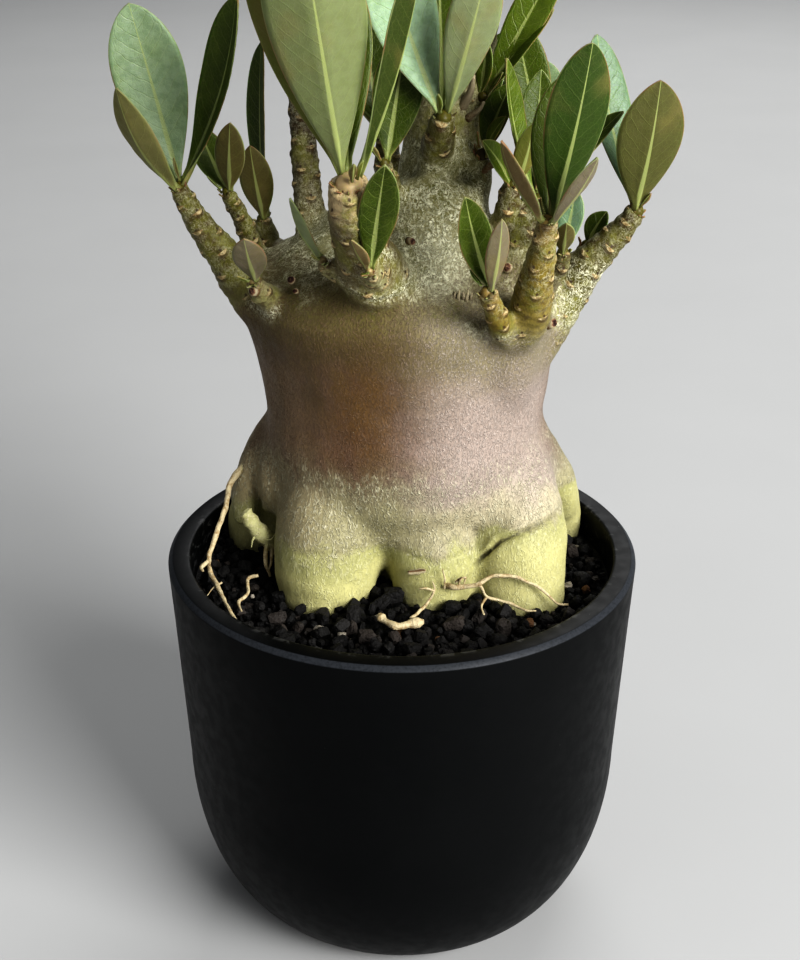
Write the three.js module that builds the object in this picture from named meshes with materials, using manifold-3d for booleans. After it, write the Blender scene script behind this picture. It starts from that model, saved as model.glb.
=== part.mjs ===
// A potted desert rose (adenium): a swollen caudex with toe-like roots, short branches with tufts of
// leaves, gritty soil and a round-bottomed matt black pot. Millimetres, +Z up, and the origin is at the
// middle of the pot's foot. The plant's front, the side with three toes, looks along -Y.
import * as THREE from "three";
import { mergeVertices } from "three/addons/utils/BufferGeometryUtils.js";
import Module from "manifold-3d";

const wasm = await Module();
wasm.setup();

// Driving dimensions
const potRadius = 60; // at the lip
const potHeight = 101;
const bellyRadius = 57.2; // where the wall turns in towards the foot
const bellyHeight = 45;
const footRadius = 34;
const potWall = 4;
const potFloor = 5;
const drainHoleRadius = 4;
const drainCircleRadius = 18;
const soilHeight = 94;
const soilDome = 1.5; // the soil stands this much higher at the plant
const fitGap = 0.3; // between two pieces that touch
const potSides = 48;

const trunkCentre = [1, 8]; // the caudex stands a little behind the pot's middle
const caudexSides = 36;
const caudexDepth = 0.86; // its front to back size over its width

const grainCount = 120;
const grainRadius = [3.2, 4.6];

const bladeThickness = 0.7;
const petioleHalf = 0.9;

const colours = {
  pot: 0x16181a,
  soil: 0x1d1b1a,
  bark: 0x8f8a55,
  leaf: 0x5f7f3a,
};

// Height and radius of the caudex, from inside the soil to its crown
const caudexProfile = [
  [84, 10],
  [94, 16],
  [103, 22],
  [111, 28.4],
  [119, 33.4],
  [128, 35],
  [139, 34.4],
  [148, 35.4],
  [156, 37.4],
  [163, 39.6],
  [168, 40.6],
  [172.5, 38.6],
  [177, 33.6],
  [181, 26.6],
  [185.5, 19.6],
  [191, 14],
];

// Each toe: its line from inside the caudex down into the soil, and its radius along it
const toes = [
  {
    line: [[-11, 2, 131], [-17, -5.5, 114], [-18.5, -10, 99], [-19, -12, 86], [-22, -15, 66]],
    radii: [13, 14.5, 13, 10.5, 4.5],
  },
  {
    line: [[6, 4, 130], [7.5, -6, 113], [8, -10.5, 98], [8, -12, 85], [7, -14, 68]],
    radii: [11, 12.4, 11, 9, 4],
  },
  {
    line: [[23, 5, 131], [28, -4, 115], [30, -9.5, 100], [30.5, -12, 86], [32, -14, 68]],
    radii: [11, 12.5, 11.2, 9, 4],
  },
  {
    line: [[-22, 14, 132], [-31, 17, 114], [-37, 20, 98], [-39, 22, 84], [-38, 23, 70]],
    radii: [11, 11, 10, 7.4, 3.5],
  },
  {
    line: [[24, 16, 132], [33, 20, 115], [38.5, 24, 100], [39.5, 25, 86], [37, 25, 72]],
    radii: [11, 10, 8.6, 6.6, 3],
  },
  {
    line: [[-8, 18, 128], [-13, 26, 112], [-15, 31, 98], [-16, 33, 84], [-16, 33, 68]],
    radii: [13, 13, 11.5, 8, 3.5],
  },
  {
    line: [[12, 18, 128], [16, 26, 112], [18, 31, 98], [19, 33, 84], [18, 32, 68]],
    radii: [13, 12.6, 11, 8, 3.5],
  },
];

// Thin roots that show on the soil, the same way
const thinRoots = [
  {
    line: [[-34, 18, 130], [-40, 13, 124], [-44, 3, 114], [-48, -10, 102], [-45, -22, 97], [-40, -32, 95]],
    radii: [1.6, 1.5, 1.3, 1.1, 0.8, 0.8],
  },
  { line: [[-27, -2, 110], [-33, -4, 109.5], [-36, -5, 112], [-38, -6, 114.5]], radii: [2, 2.6, 2.6, 1.9] },
  {
    line: [[10, -17, 103], [9, -24, 98.5], [4, -29, 96.4], [-2, -30, 96.4], [-6, -27.5, 97.6]],
    radii: [0.9, 1, 1.7, 1.8, 1.5],
  },
  {
    line: [[12, -18, 102], [18, -23, 101.4], [24, -23.5, 103], [31, -23.5, 102.5], [37, -22.5, 99], [41, -20, 95]],
    radii: [1, 1, 0.9, 0.8, 0.8, 0.8],
  },
];

// Shoots: a limb from inside the caudex to its tip, with its radius, and the leaves of its tuft.
// A leaf has its tip, its width, the way its upper side faces, how far it arches to that side and
// how many degrees each half folds up from the midrib.
const shoots = {
  left_arm: {
    line: [[-22, 4, 158], [-34, 0, 169], [-42, -4, 181], [-47, -6, 189], [-51, -8, 198]],
    radii: [10, 7, 4.2, 3.1, 2.1],
    leaves: [
      { tip: [-60.5, -2, 238], width: 16.5, face: [0.1, -1, 0.25], arch: -2, fold: 8 },
      { tip: [-35.5, -12, 241], width: 13, face: [-0.85, -0.6, 0.1], arch: -3, fold: 24 },
      { tip: [-61.5, -19, 223], width: 9, face: [0.75, 0.5, 0.45], arch: -3, fold: 14 },
      { tip: [-63, 3, 217], width: 10.5, face: [0.5, -0.8, 0.4], arch: -2, fold: 12 },
    ],
  },
  back_left_slim: {
    line: [[-26, 14, 166], [-35, 14, 174], [-39, 12, 185], [-42, 10, 192]],
    radii: [4.5, 2.8, 2.2, 1.8],
    leaves: [
      { tip: [-40, 5, 210], width: 7.5, face: [0.1, 1, 0.3], arch: -1, fold: 8 },
      { tip: [-49, 15, 207], width: 8, face: [0.2, -1, 0.3], arch: -1, fold: 12 },
    ],
  },
  back_left_stub: {
    line: [[-24, 22, 164], [-33, 25, 173], [-35, 25, 181]],
    radii: [6, 3.6, 2.3],
    leaves: [
      { tip: [-37, 20, 201], width: 8.5, face: [0.1, 1, 0.2], arch: -1, fold: 8 },
      { tip: [-34, 30, 224], width: 10, face: [-0.8, -0.5, 0.1], arch: 1, fold: 16 },
    ],
  },
  tall_left: {
    line: [[-14, 10, 168], [-21, 12, 178], [-23, 14, 193], [-24, 16, 209], [-26, 20, 226]],
    radii: [6, 4.2, 3.4, 3, 2.3],
    leaves: [
      { tip: [-46, 26, 262], width: 14, face: [0.7, -0.4, 0.5], arch: -3, fold: 14 },
      { tip: [-20, 34, 268], width: 13, face: [0, -0.9, 0.2], arch: -2, fold: 12 },
      { tip: [-30, 8, 262], width: 12, face: [0.1, 0.9, 0.3], arch: -2, fold: 14 },
      { tip: [-32, 44, 246], width: 10, face: [0.1, -0.6, 0.8], arch: 2, fold: 14 },
    ],
  },
  front_left: {
    line: [[0, -8, 168], [-6, -21, 181], [-10, -32, 193], [-11, -39, 202], [-11, -42, 208]],
    radii: [11, 8, 5, 4.4, 4.1],
    leaves: [
      { tip: [-19, -60, 264], width: 21, face: [-0.12, 1, 0.25], arch: -2, fold: 7 },
      { tip: [-29, -43, 258], width: 14, face: [0.35, 0.9, 0.2], arch: -2, fold: 10 },
      { tip: [4, -50, 258], width: 12, face: [-0.9, 0.35, 0.1], arch: -2, fold: 20 },
      { tip: [-13, -26, 250], width: 13, face: [0.1, -1, 0.2], arch: -3, fold: 14 },
    ],
  },
  left_twig: {
    line: [[6, 0, 188], [1, -5, 193], [-2, -9, 199], [-4, -10, 204]],
    radii: [4, 2.6, 2, 1.7],
    leaves: [{ tip: [1, -8, 233], width: 11.5, face: [0.05, -1, 0.1], arch: -1, fold: 10 }],
  },
  front_bud: {
    line: [[-3, -20, 180], [-6, -31, 184], [-7, -37, 187.5]],
    radii: [3.4, 2.4, 1.5],
    leaves: [
      { tip: [-3.5, -50, 214], width: 8.6, face: [0.1, -1, -0.1], arch: -1, fold: 10 },
      { tip: [-10.5, -45, 197], width: 4.5, face: [0.5, 0.6, 0.6], arch: -0.5, fold: 16 },
    ],
  },
  left_front_bud: {
    line: [[-12, -16, 180], [-16.5, -24, 184], [-17.5, -26, 186.5]],
    radii: [3.2, 2, 1.4],
    leaves: [{ tip: [-24, -31, 202], width: 7, face: [0.8, 0.35, 0.5], arch: -1.5, fold: 18 }],
  },
  left_shoulder_bud: {
    line: [[-26, -4, 168], [-32, -14, 174.5], [-34, -18, 179]],
    radii: [4.2, 2.8, 1.7],
    leaves: [{ tip: [-34.5, -29, 193], width: 7.8, face: [0, 0.55, 0.85], arch: -0.6, fold: 8 }],
  },
  trunk: {
    line: [[6, 6, 160], [7, 6, 178], [9, 6, 194], [12, 8, 206], [16, 9, 217], [19, 9, 230], [20, 10, 243]],
    radii: [20, 13, 10, 8, 3.6, 2.9, 2.3],
    leaves: [
      { tip: [44, 2, 274], width: 14, face: [-0.5, -0.3, 0.8], arch: 2, fold: 18 },
      { tip: [30, -16, 282], width: 15, face: [-0.2, 0.8, 0.4], arch: -2, fold: 14 },
      { tip: [6, 4, 286], width: 14, face: [0.9, -0.2, 0.3], arch: -2, fold: 14 },
      { tip: [18, 34, 280], width: 14, face: [0.1, -0.9, 0.3], arch: -2, fold: 14 },
    ],
  },
  trunk_front: {
    line: [[9, 2, 194], [8, -5, 205], [8.5, -10, 211], [9, -12, 215]],
    radii: [7, 4.6, 3.2, 2.6],
    leaves: [
      { tip: [18, -24, 251], width: 11.5, face: [-0.1, 1, 0.25], arch: -1.5, fold: 10 },
      { tip: [-5, -15, 254], width: 16, face: [0.3, -1, 0.2], arch: -2, fold: 12 },
      { tip: [8, 0, 252], width: 13, face: [0, -1, 0.2], arch: -2, fold: 12 },
    ],
  },
  trunk_right: {
    line: [[14, 9, 203], [17, 6, 210], [18.5, 3, 216]],
    radii: [5, 2.6, 1.9],
    leaves: [
      { tip: [34, 3, 236], width: 8.5, face: [-0.55, -0.7, 0.5], arch: 1.5, fold: 26 },
      { tip: [19, -1, 230], width: 4.5, face: [-0.4, -0.9, 0.1], arch: -0.5, fold: 14 },
      { tip: [36, 4, 248], width: 9, face: [-0.2, -0.9, 0.3], arch: 1, fold: 14 },
    ],
  },
  right_knob: {
    line: [[10, 2, 184], [17, 0, 195], [18.5, -2, 204]],
    radii: [6, 3.8, 2.3],
    leaves: [
      { tip: [25, 0.5, 220], width: 8, face: [-0.5, -0.8, 0.4], arch: 1, fold: 22 },
      { tip: [23.5, -7, 214], width: 5, face: [-0.4, -0.5, 0.8], arch: 1, fold: 14 },
    ],
  },
  right_twig: {
    line: [[19, 0, 174], [22.5, -5, 184], [24, -8, 193], [25, -9, 199]],
    radii: [5, 3.2, 2.9, 2.3],
    leaves: [
      { tip: [17.5, -17, 211], width: 6.4, face: [0.5, -0.7, 0.5], arch: 0.8, fold: 16 },
      { tip: [29, -13, 214], width: 6, face: [-0.3, 0.9, 0.2], arch: -1, fold: 14 },
    ],
  },
  right_mid: {
    line: [[22, -2, 166], [25, -8, 178], [28, -9, 187], [31, -8, 195]],
    radii: [7, 4.2, 3.6, 2.7],
    leaves: [
      { tip: [23, -7, 227], width: 8, face: [0.85, -0.5, 0.1], arch: -1.5, fold: 20 },
      { tip: [32, 6, 222], width: 10, face: [0, -0.95, 0.3], arch: -2, fold: 12 },
      { tip: [49.5, -8, 215.5], width: 7, face: [-0.5, -0.5, 0.7], arch: 1, fold: 18 },
    ],
  },
  front_right: {
    line: [[22, -10, 158], [27, -22, 168], [29, -29, 182], [30.5, -33, 192], [31, -35, 198]],
    radii: [8, 6, 3.8, 2.6, 2.2],
    leaves: [
      { tip: [37.5, -44, 237], width: 13.5, face: [-0.25, 1, 0.15], arch: -1.5, fold: 9 },
      { tip: [20, -46, 218], width: 8, face: [0.7, 0.4, 0.6], arch: -1.5, fold: 16 },
      { tip: [39, -50, 215.5], width: 6.5, face: [-0.5, 0.5, 0.75], arch: -1, fold: 14 },
      { tip: [33, -24, 226], width: 10, face: [-0.1, -0.95, 0.3], arch: -1.5, fold: 12 },
    ],
  },
  right_arm: {
    line: [[26, -2, 154], [37, -4, 170], [44, -6, 180], [50, -7, 187], [54, -8, 192.5]],
    radii: [10, 6.5, 4.2, 3.1, 2.1],
    leaves: [
      { tip: [56, -16, 224], width: 15.5, face: [-0.2, 1, 0.25], arch: -1.5, fold: 7 },
      { tip: [44.5, 8, 229.5], width: 12, face: [0.55, -0.85, 0.2], arch: -2, fold: 12 },
    ],
  },
  right_bud: {
    line: [[32, -10, 174], [36, -16, 182], [36.5, -18, 186]],
    radii: [3.4, 2.2, 1.5],
    leaves: [
      { tip: [36, -26, 195], width: 4.8, face: [0, 0.8, 0.5], arch: -0.6, fold: 16 },
      { tip: [38.8, -16, 200], width: 6, face: [-0.2, -1, 0.2], arch: -0.8, fold: 12 },
    ],
  },
  right_side_bud: {
    line: [[36, 0, 168], [42, 1, 178], [43.5, 1.5, 181.5]],
    radii: [4, 2.2, 1.5],
    leaves: [{ tip: [48.6, 3, 189.3], width: 6, face: [-0.5, -0.7, 0.5], arch: 0.8, fold: 16 }],
  },
  front_right_bud: {
    line: [[24, -20, 166], [21.5, -29, 174], [18.5, -33, 181.5]],
    radii: [3.8, 2.9, 2.1],
    leaves: [
      { tip: [13, -41, 205], width: 8.2, face: [0.35, -0.9, 0.2], arch: -1, fold: 12 },
      { tip: [20.5, -45, 201.5], width: 5.6, face: [-0.35, 0.85, 0.4], arch: -1, fold: 14 },
    ],
  },
  back_middle: {
    line: [[2, 20, 162], [0, 30, 174], [-3, 36, 188], [-4, 39, 200]],
    radii: [9, 5.4, 4, 2.6],
    leaves: [
      { tip: [-12, 52, 236], width: 14, face: [0.2, -0.9, 0.3], arch: -2, fold: 12 },
      { tip: [8, 54, 232], width: 13, face: [-0.2, -0.85, 0.4], arch: -2, fold: 12 },
      { tip: [-22, 40, 226], width: 11, face: [0.7, -0.2, 0.6], arch: -2, fold: 14 },
      { tip: [2, 62, 214], width: 10, face: [0, -0.6, 0.8], arch: 1, fold: 14 },
    ],
  },
  back_right: {
    line: [[18, 20, 160], [28, 28, 172], [34, 33, 184], [37, 36, 194]],
    radii: [8, 5, 3.4, 2.3],
    leaves: [
      { tip: [28, 42, 228], width: 12, face: [0, -0.9, 0.2], arch: -2, fold: 12 },
      { tip: [52, 46, 218], width: 12, face: [-0.6, -0.4, 0.6], arch: -2, fold: 14 },
      { tip: [38, 58, 214], width: 10, face: [-0.1, -0.7, 0.7], arch: 1, fold: 14 },
      { tip: [20, 44, 216], width: 9, face: [0.6, -0.4, 0.6], arch: -1, fold: 14 },
    ],
  },
  back_inner: {
    line: [[8, 12, 176], [12, 20, 188], [14, 25, 198]],
    radii: [6, 3.4, 2.4],
    leaves: [
      { tip: [24, 30, 226], width: 10, face: [-0.4, -0.8, 0.4], arch: -1, fold: 14 },
      { tip: [4, 28, 224], width: 9, face: [0.5, -0.7, 0.4], arch: -1, fold: 14 },
    ],
  },
};

// A seeded random number from 0 to 1
function randomSource(seed) {
  let state = seed;
  return () => {
    state = (Math.imul(state, 1664525) + 1013904223) >>> 0;
    return state / 4294967296;
  };
}

// Solids and meshes
function solidOf(geometry) {
  geometry.deleteAttribute("normal");
  geometry.deleteAttribute("uv");
  const merged = mergeVertices(geometry, 1e-4);
  return new wasm.Manifold(
    new wasm.Mesh({
      numProp: 3,
      vertProperties: new Float32Array(merged.attributes.position.array),
      triVerts: new Uint32Array(merged.index.array),
    }),
  );
}

function meshOf(solid, name, colour, roughness) {
  const { vertProperties, triVerts } = solid.getMesh();
  const geometry = new THREE.BufferGeometry();
  geometry.setAttribute("position", new THREE.BufferAttribute(vertProperties, 3));
  geometry.setIndex(new THREE.BufferAttribute(triVerts, 1));
  geometry.computeVertexNormals();
  const material = new THREE.MeshStandardMaterial({ color: colour, roughness, metalness: 0 });
  const mesh = new THREE.Mesh(geometry, material);
  mesh.name = name;
  return mesh;
}

function joined(solids) {
  return solids.reduce((whole, next) => whole.add(next));
}

// The largest body of a solid, without the scraps that a cut leaves
function largestBody(solid) {
  return solid.decompose().reduce((best, body) => (body.volume() > best.volume() ? body : best));
}

// A value read along a list, smoothly, at a share from 0 to 1
function along(values, share) {
  const place = share * (values.length - 1);
  const index = Math.min(Math.floor(place), values.length - 2);
  return THREE.MathUtils.lerp(values[index], values[index + 1], place - index);
}

// A round limb along a line, with a radius at each of its points and flat ends
function limb({ line, radii }, sides, steps, grow = 0) {
  const curve = new THREE.CatmullRomCurve3(line.map((p) => new THREE.Vector3(...p)));
  const { normals, binormals } = curve.computeFrenetFrames(steps);
  const geometry = new THREE.CylinderGeometry(1, 1, 1, sides, steps);
  const place = geometry.attributes.position;
  const point = new THREE.Vector3();
  for (let i = 0; i < place.count; i++) {
    const step = Math.round((place.getY(i) + 0.5) * steps);
    const share = step / steps;
    const radius = along(radii, share) + grow;
    point.copy(curve.getPoint(share));
    point.addScaledVector(normals[step], place.getX(i) * radius);
    point.addScaledVector(binormals[step], -place.getZ(i) * radius);
    place.setXYZ(i, point.x, point.y, point.z);
  }
  return solidOf(geometry);
}

// A turned solid whose outline is given from the bottom up, stood on the Z axis
function turned(outline, sides) {
  const geometry = new THREE.LatheGeometry(outline, sides);
  geometry.rotateX(Math.PI / 2);
  return solidOf(geometry);
}

// Pot: a straight wall over a belly that rounds in to a small flat foot, four drain holes
function wallRadius(height, inset) {
  const share = (height - bellyHeight) / (potHeight - bellyHeight);
  return THREE.MathUtils.lerp(bellyRadius, potRadius, share) - inset;
}

function bellyOutline(inset, floor, steps) {
  const points = [];
  for (let i = 0; i <= steps; i++) {
    const turn = (i / steps) * (Math.PI / 2);
    const radius = footRadius + (bellyRadius - footRadius) * Math.sin(turn) - inset;
    points.push(new THREE.Vector2(radius, floor + (bellyHeight - floor) * (1 - Math.cos(turn))));
  }
  return points;
}

function makePot() {
  const lipRound = 0.8;
  const shoulder = potHeight - lipRound;
  const outline = [
    new THREE.Vector2(0, 0),
    ...bellyOutline(0, 0, 6),
    new THREE.Vector2(potRadius, shoulder),
    new THREE.Vector2(potRadius - lipRound, potHeight),
    new THREE.Vector2(potRadius - potWall + lipRound, potHeight),
    new THREE.Vector2(wallRadius(shoulder, potWall), shoulder),
    ...bellyOutline(potWall, potFloor, 3).reverse(),
    new THREE.Vector2(0, potFloor),
  ];
  let pot = turned(outline, potSides);
  const holeCount = 4;
  for (let i = 0; i < holeCount; i++) {
    const turn = ((i + 0.5) / holeCount) * Math.PI * 2;
    const hole = new THREE.CylinderGeometry(drainHoleRadius, drainHoleRadius, potFloor * 3, 12);
    hole.rotateX(Math.PI / 2);
    hole.translate(drainCircleRadius * Math.cos(turn), drainCircleRadius * Math.sin(turn), 0);
    pot = pot.subtract(solidOf(hole));
  }
  return pot;
}

// Caudex: the swollen body, its toes and its limbs, grown together as one piece
function caudexBody(grow) {
  const outline = [new THREE.Vector2(0, caudexProfile[0][0] - grow)];
  for (const [height, radius] of caudexProfile) outline.push(new THREE.Vector2(radius + grow, height));
  outline.push(new THREE.Vector2(0, caudexProfile.at(-1)[0] + 1 + grow));
  const geometry = new THREE.LatheGeometry(outline, caudexSides);
  geometry.rotateX(Math.PI / 2);
  geometry.scale(1, caudexDepth, 1);
  geometry.translate(trunkCentre[0], trunkCentre[1], 0);
  return solidOf(geometry);
}

function rootsAndBody(grow) {
  const toeSides = 11;
  const toeSteps = 6;
  const rootSides = 5;
  const rootSteps = 9;
  return joined([
    caudexBody(grow),
    ...toes.map((toe) => limb(toe, toeSides, toeSteps, grow)),
    ...thinRoots.map((root) => limb(root, rootSides, rootSteps, grow)),
  ]);
}

function limbsOfShoots() {
  return Object.values(shoots).map((shoot) => {
    const sides = shoot.radii[0] > 6 ? 9 : 6;
    return limb(shoot, sides, shoot.line.length);
  });
}

// Soil: the fill of the pot, with coarse grit fused into its top and holes where the plant stands
function makeSoil(hole) {
  const inset = potWall + fitGap;
  const edge = wallRadius(soilHeight, inset);
  const outline = [
    new THREE.Vector2(0, potFloor + fitGap),
    ...bellyOutline(inset, potFloor + fitGap, 3),
    new THREE.Vector2(edge, soilHeight),
    new THREE.Vector2(edge * 0.6, soilHeight + soilDome),
    new THREE.Vector2(0, soilHeight + soilDome),
  ];
  const fill = turned(outline, potSides);
  const random = randomSource(7);
  const goldenAngle = Math.PI * (3 - Math.sqrt(5));
  const [inner, outer] = [24, 50.4];
  const grains = [];
  for (let i = 0; i < grainCount; i++) {
    const share = (i + 0.5) / grainCount;
    const reach = Math.sqrt(inner * inner + (outer * outer - inner * inner) * share);
    const turn = i * goldenAngle + random() * 0.08;
    const size = THREE.MathUtils.lerp(grainRadius[0], grainRadius[1], random());
    const grain = new THREE.OctahedronGeometry(size);
    grain.rotateX(random() * 3);
    grain.rotateZ(random() * 3);
    const lift = soilDome * Math.min(1, (outer - reach) / 20) + random() * 0.9 - 0.7;
    grain.translate(reach * Math.cos(turn), reach * Math.sin(turn), soilHeight + lift);
    grains.push(solidOf(grain));
  }
  return largestBody(fill.add(joined(grains)).subtract(hole));
}

// Leaves: half the width of a blade at a share of its length, widest past the middle
function halfWidth(share, width) {
  const [rise, fall] = [1.25, 0.6];
  const peak = rise / (rise + fall);
  const shape = (s) => Math.pow(s, rise) * Math.pow(1 - s, fall);
  return Math.max((width / 2) * (shape(share) / shape(peak)), petioleHalf * (share < 0.5 ? 1 : 0.5));
}

function blade(leaf, root) {
  const steps = leaf.width > 9 ? 6 : leaf.width > 6.5 ? 5 : 4;
  const base = new THREE.Vector3(...root);
  const forward = new THREE.Vector3(...leaf.tip).sub(base);
  const length = forward.length();
  forward.normalize();
  const face = new THREE.Vector3(...leaf.face);
  face.addScaledVector(forward, -face.dot(forward)).normalize();
  const side = new THREE.Vector3().crossVectors(forward, face);
  const fold = THREE.MathUtils.degToRad(leaf.fold);
  const upper = [];
  const lower = [];
  for (let i = 0; i <= steps; i++) {
    const share = 1 - Math.pow(1 - i / steps, 1.3);
    const slope = (leaf.arch * 4 * (1 - 2 * share)) / length;
    const lift = face.clone().addScaledVector(forward, -slope).normalize();
    const half = halfWidth(share, leaf.width);
    for (const out of [-1, 0, 1]) {
      const point = base.clone().addScaledVector(forward, length * share);
      point.addScaledVector(face, leaf.arch * 4 * share * (1 - share));
      point.addScaledVector(side, out * half * Math.cos(fold));
      point.addScaledVector(lift, Math.abs(out) * half * Math.sin(fold));
      upper.push(point.clone().addScaledVector(lift, bladeThickness / 2));
      lower.push(point.clone().addScaledVector(lift, -bladeThickness / 2));
    }
  }
  return sheet(upper, lower, steps, 2);
}

// A thin closed sheet between two like grids of points, split into triangles alike on both faces
function sheet(upper, lower, steps, across) {
  const below = upper.length;
  const at = (i, j) => i * (across + 1) + j;
  const faces = [];
  const edge = (a, b) => faces.push(a, b, b + below, a, b + below, a + below);
  for (let i = 0; i < steps; i++) {
    for (let j = 0; j < across; j++) {
      const [a, b, c, d] = [at(i, j), at(i, j + 1), at(i + 1, j + 1), at(i + 1, j)];
      faces.push(a, b, c, a, c, d);
      faces.push(a + below, c + below, b + below, a + below, d + below, c + below);
    }
    edge(at(i, 0), at(i + 1, 0));
    edge(at(i + 1, across), at(i, across));
  }
  for (let j = 0; j < across; j++) {
    edge(at(0, j + 1), at(0, j));
    edge(at(steps, j), at(steps, j + 1));
  }
  const geometry = new THREE.BufferGeometry().setFromPoints([...upper, ...lower]);
  geometry.setIndex(faces);
  return solidOf(geometry);
}

// A tuft: a small green growing tip on the limb's end, with its leaves sunk into it
function makeTuft(shoot) {
  const end = new THREE.Vector3(...shoot.line.at(-1));
  const before = new THREE.Vector3(...shoot.line.at(-2));
  const way = end.clone().sub(before).normalize();
  const radius = shoot.radii.at(-1);
  const point = (distance) => end.clone().addScaledVector(way, distance).toArray();
  const bud = { line: [point(fitGap), point(2 + radius)], radii: [radius * 0.95, radius * 0.55] };
  const core = limb(bud, 6, 1);
  const blades = shoot.leaves.map((leaf) => {
    const out = new THREE.Vector3(...leaf.tip).sub(end);
    out.addScaledVector(way, -out.dot(way)).normalize().multiplyScalar(radius * 0.45);
    const root = end.clone().addScaledVector(way, fitGap + 0.9 + radius * 0.2).add(out);
    return blade(leaf, root.toArray());
  });
  return joined([core, ...blades]);
}

const pottedPlant = new THREE.Group();
const roots = rootsAndBody(0);
pottedPlant.add(meshOf(makePot(), "pot", colours.pot, 0.6));
pottedPlant.add(meshOf(makeSoil(rootsAndBody(fitGap)), "soil", colours.soil, 0.95));
pottedPlant.add(meshOf(joined([roots, ...limbsOfShoots()]), "caudex", colours.bark, 0.8));
for (const [name, shoot] of Object.entries(shoots)) {
  pottedPlant.add(meshOf(makeTuft(shoot), `leaves_${name}`, colours.leaf, 0.55));
}

export default pottedPlant;
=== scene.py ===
# A desert rose (adenium) in a round-bottomed matt black pot, on a plain pale floor.
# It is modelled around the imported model: metres, +Z up, the origin at the middle of the pot's foot.
# The sizes in the dictionaries are millimetres.
import math
import random

import bmesh
import bpy
import numpy as np
from mathutils import Matrix, Vector, noise
from mathutils.bvhtree import BVHTree


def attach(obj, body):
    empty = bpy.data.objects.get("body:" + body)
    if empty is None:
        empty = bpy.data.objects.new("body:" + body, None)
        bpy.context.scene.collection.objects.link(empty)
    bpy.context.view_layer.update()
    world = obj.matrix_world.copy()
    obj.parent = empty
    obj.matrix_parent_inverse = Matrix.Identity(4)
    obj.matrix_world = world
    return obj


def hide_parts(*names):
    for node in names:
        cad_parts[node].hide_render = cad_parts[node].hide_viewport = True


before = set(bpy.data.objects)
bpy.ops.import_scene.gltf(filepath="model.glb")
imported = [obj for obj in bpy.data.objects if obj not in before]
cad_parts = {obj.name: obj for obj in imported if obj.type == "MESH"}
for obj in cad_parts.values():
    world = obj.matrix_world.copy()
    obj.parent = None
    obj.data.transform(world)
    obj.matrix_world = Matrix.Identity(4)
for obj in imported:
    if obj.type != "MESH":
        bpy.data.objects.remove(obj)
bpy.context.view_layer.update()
mm = 0.001
noise.seed_set(7)  # noise_vector is moved by this seed, and by the clock without it


# Small helpers for points and lines

def smoothStep(low, high, value):
    share = np.clip((value - low) / (high - low), 0, 1)
    return share * share * (3 - 2 * share)


def along(values, share):
    # a value read along a list, at a share from 0 to 1
    place = share * (len(values) - 1)
    index = min(int(place), len(values) - 2)
    return values[index] + (values[index + 1] - values[index]) * (place - index)


def linePoint(points, share):
    # a point of the smooth line through the points (centripetal Catmull-Rom, as the solids' limbs follow)
    last = len(points) - 1
    index = min(int(share * last), last - 1)
    t = share * last - index
    b, c = points[index], points[index + 1]
    a = points[index - 1] if index > 0 else b * 2 - c
    d = points[index + 2] if index + 2 <= last else c * 2 - b
    ab, bc, cd = (b - a).length ** 0.5, (c - b).length ** 0.5, (d - c).length ** 0.5
    leave = ((b - a) / ab - (c - a) / (ab + bc) + (c - b) / bc) * bc
    arrive = ((c - b) / bc - (d - b) / (bc + cd) + (d - c) / cd) * bc
    return (b + leave * t + (c * 3 - b * 3 - leave * 2 - arrive) * t ** 2
            + (b * 2 - c * 2 + leave + arrive) * t ** 3)


def lineFrames(line, steps):
    # centres along a line in metres, each with two directions across it that never twist
    points = [Vector(p) * mm for p in line]
    centres = [linePoint(points, i / steps) for i in range(steps + 1)]
    frames = []
    across = None
    for i, centre in enumerate(centres):
        ahead = (centres[min(i + 1, steps)] - centres[max(i - 1, 0)]).normalized()
        if across is None:
            across = ahead.orthogonal().normalized()
        else:
            across = (across - ahead * across.dot(ahead)).normalized()
        frames.append((centre, across, ahead.cross(across), ahead))
    return frames


# Small helpers for meshes and pieces

def joinInto(bm, part):
    # adds one mesh in the making to another and gives its vertices there
    before = len(bm.verts)
    loose = bpy.data.meshes.new("loose")
    part.to_mesh(loose)
    part.free()
    bm.from_mesh(loose)
    bpy.data.meshes.remove(loose)
    bm.verts.ensure_lookup_table()
    return bm.verts[before:]


def addLimb(bm, line, radii, sides, steps, wobble=0.0):
    # a round limb: a straight cylinder with rings, its rings then moved onto the line
    frames = lineFrames(line, steps)
    part = bmesh.new()
    bmesh.ops.create_cone(part, cap_ends=True, segments=sides, radius1=1, radius2=1, depth=1)
    upright = [e for e in part.edges if abs(e.verts[0].co.z - e.verts[1].co.z) > 0.5]
    bmesh.ops.subdivide_edges(part, edges=upright, cuts=steps - 1)
    for vert in part.verts:
        share = vert.co.z + 0.5
        centre, across, other, ahead = frames[round(share * steps)]
        radius = along(radii, share) * mm
        place = centre + (across * vert.co.x + other * vert.co.y) * radius
        if wobble:
            place += Vector(noise.noise_vector(place * 400)) * wobble * mm
        vert.co = place
    return joinInto(bm, part)


def spun(outline, steps):
    # a closed turned body from its outline in millimetres, bottom to top, both ends on the axis
    bm = bmesh.new()
    verts = [bm.verts.new((radius * mm, 0, height * mm)) for radius, height in outline]
    edges = [bm.edges.new(pair) for pair in zip(verts, verts[1:])]
    bmesh.ops.spin(bm, geom=verts + edges, angle=math.tau, steps=steps, axis=(0, 0, 1), use_merge=True)
    bmesh.ops.remove_doubles(bm, verts=bm.verts, dist=0.01 * mm)
    bmesh.ops.recalc_face_normals(bm, faces=bm.faces)
    return bm


def placed(name, mesh):
    made = bpy.data.objects.new(name, mesh)
    bpy.context.scene.collection.objects.link(made)
    return made


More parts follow.
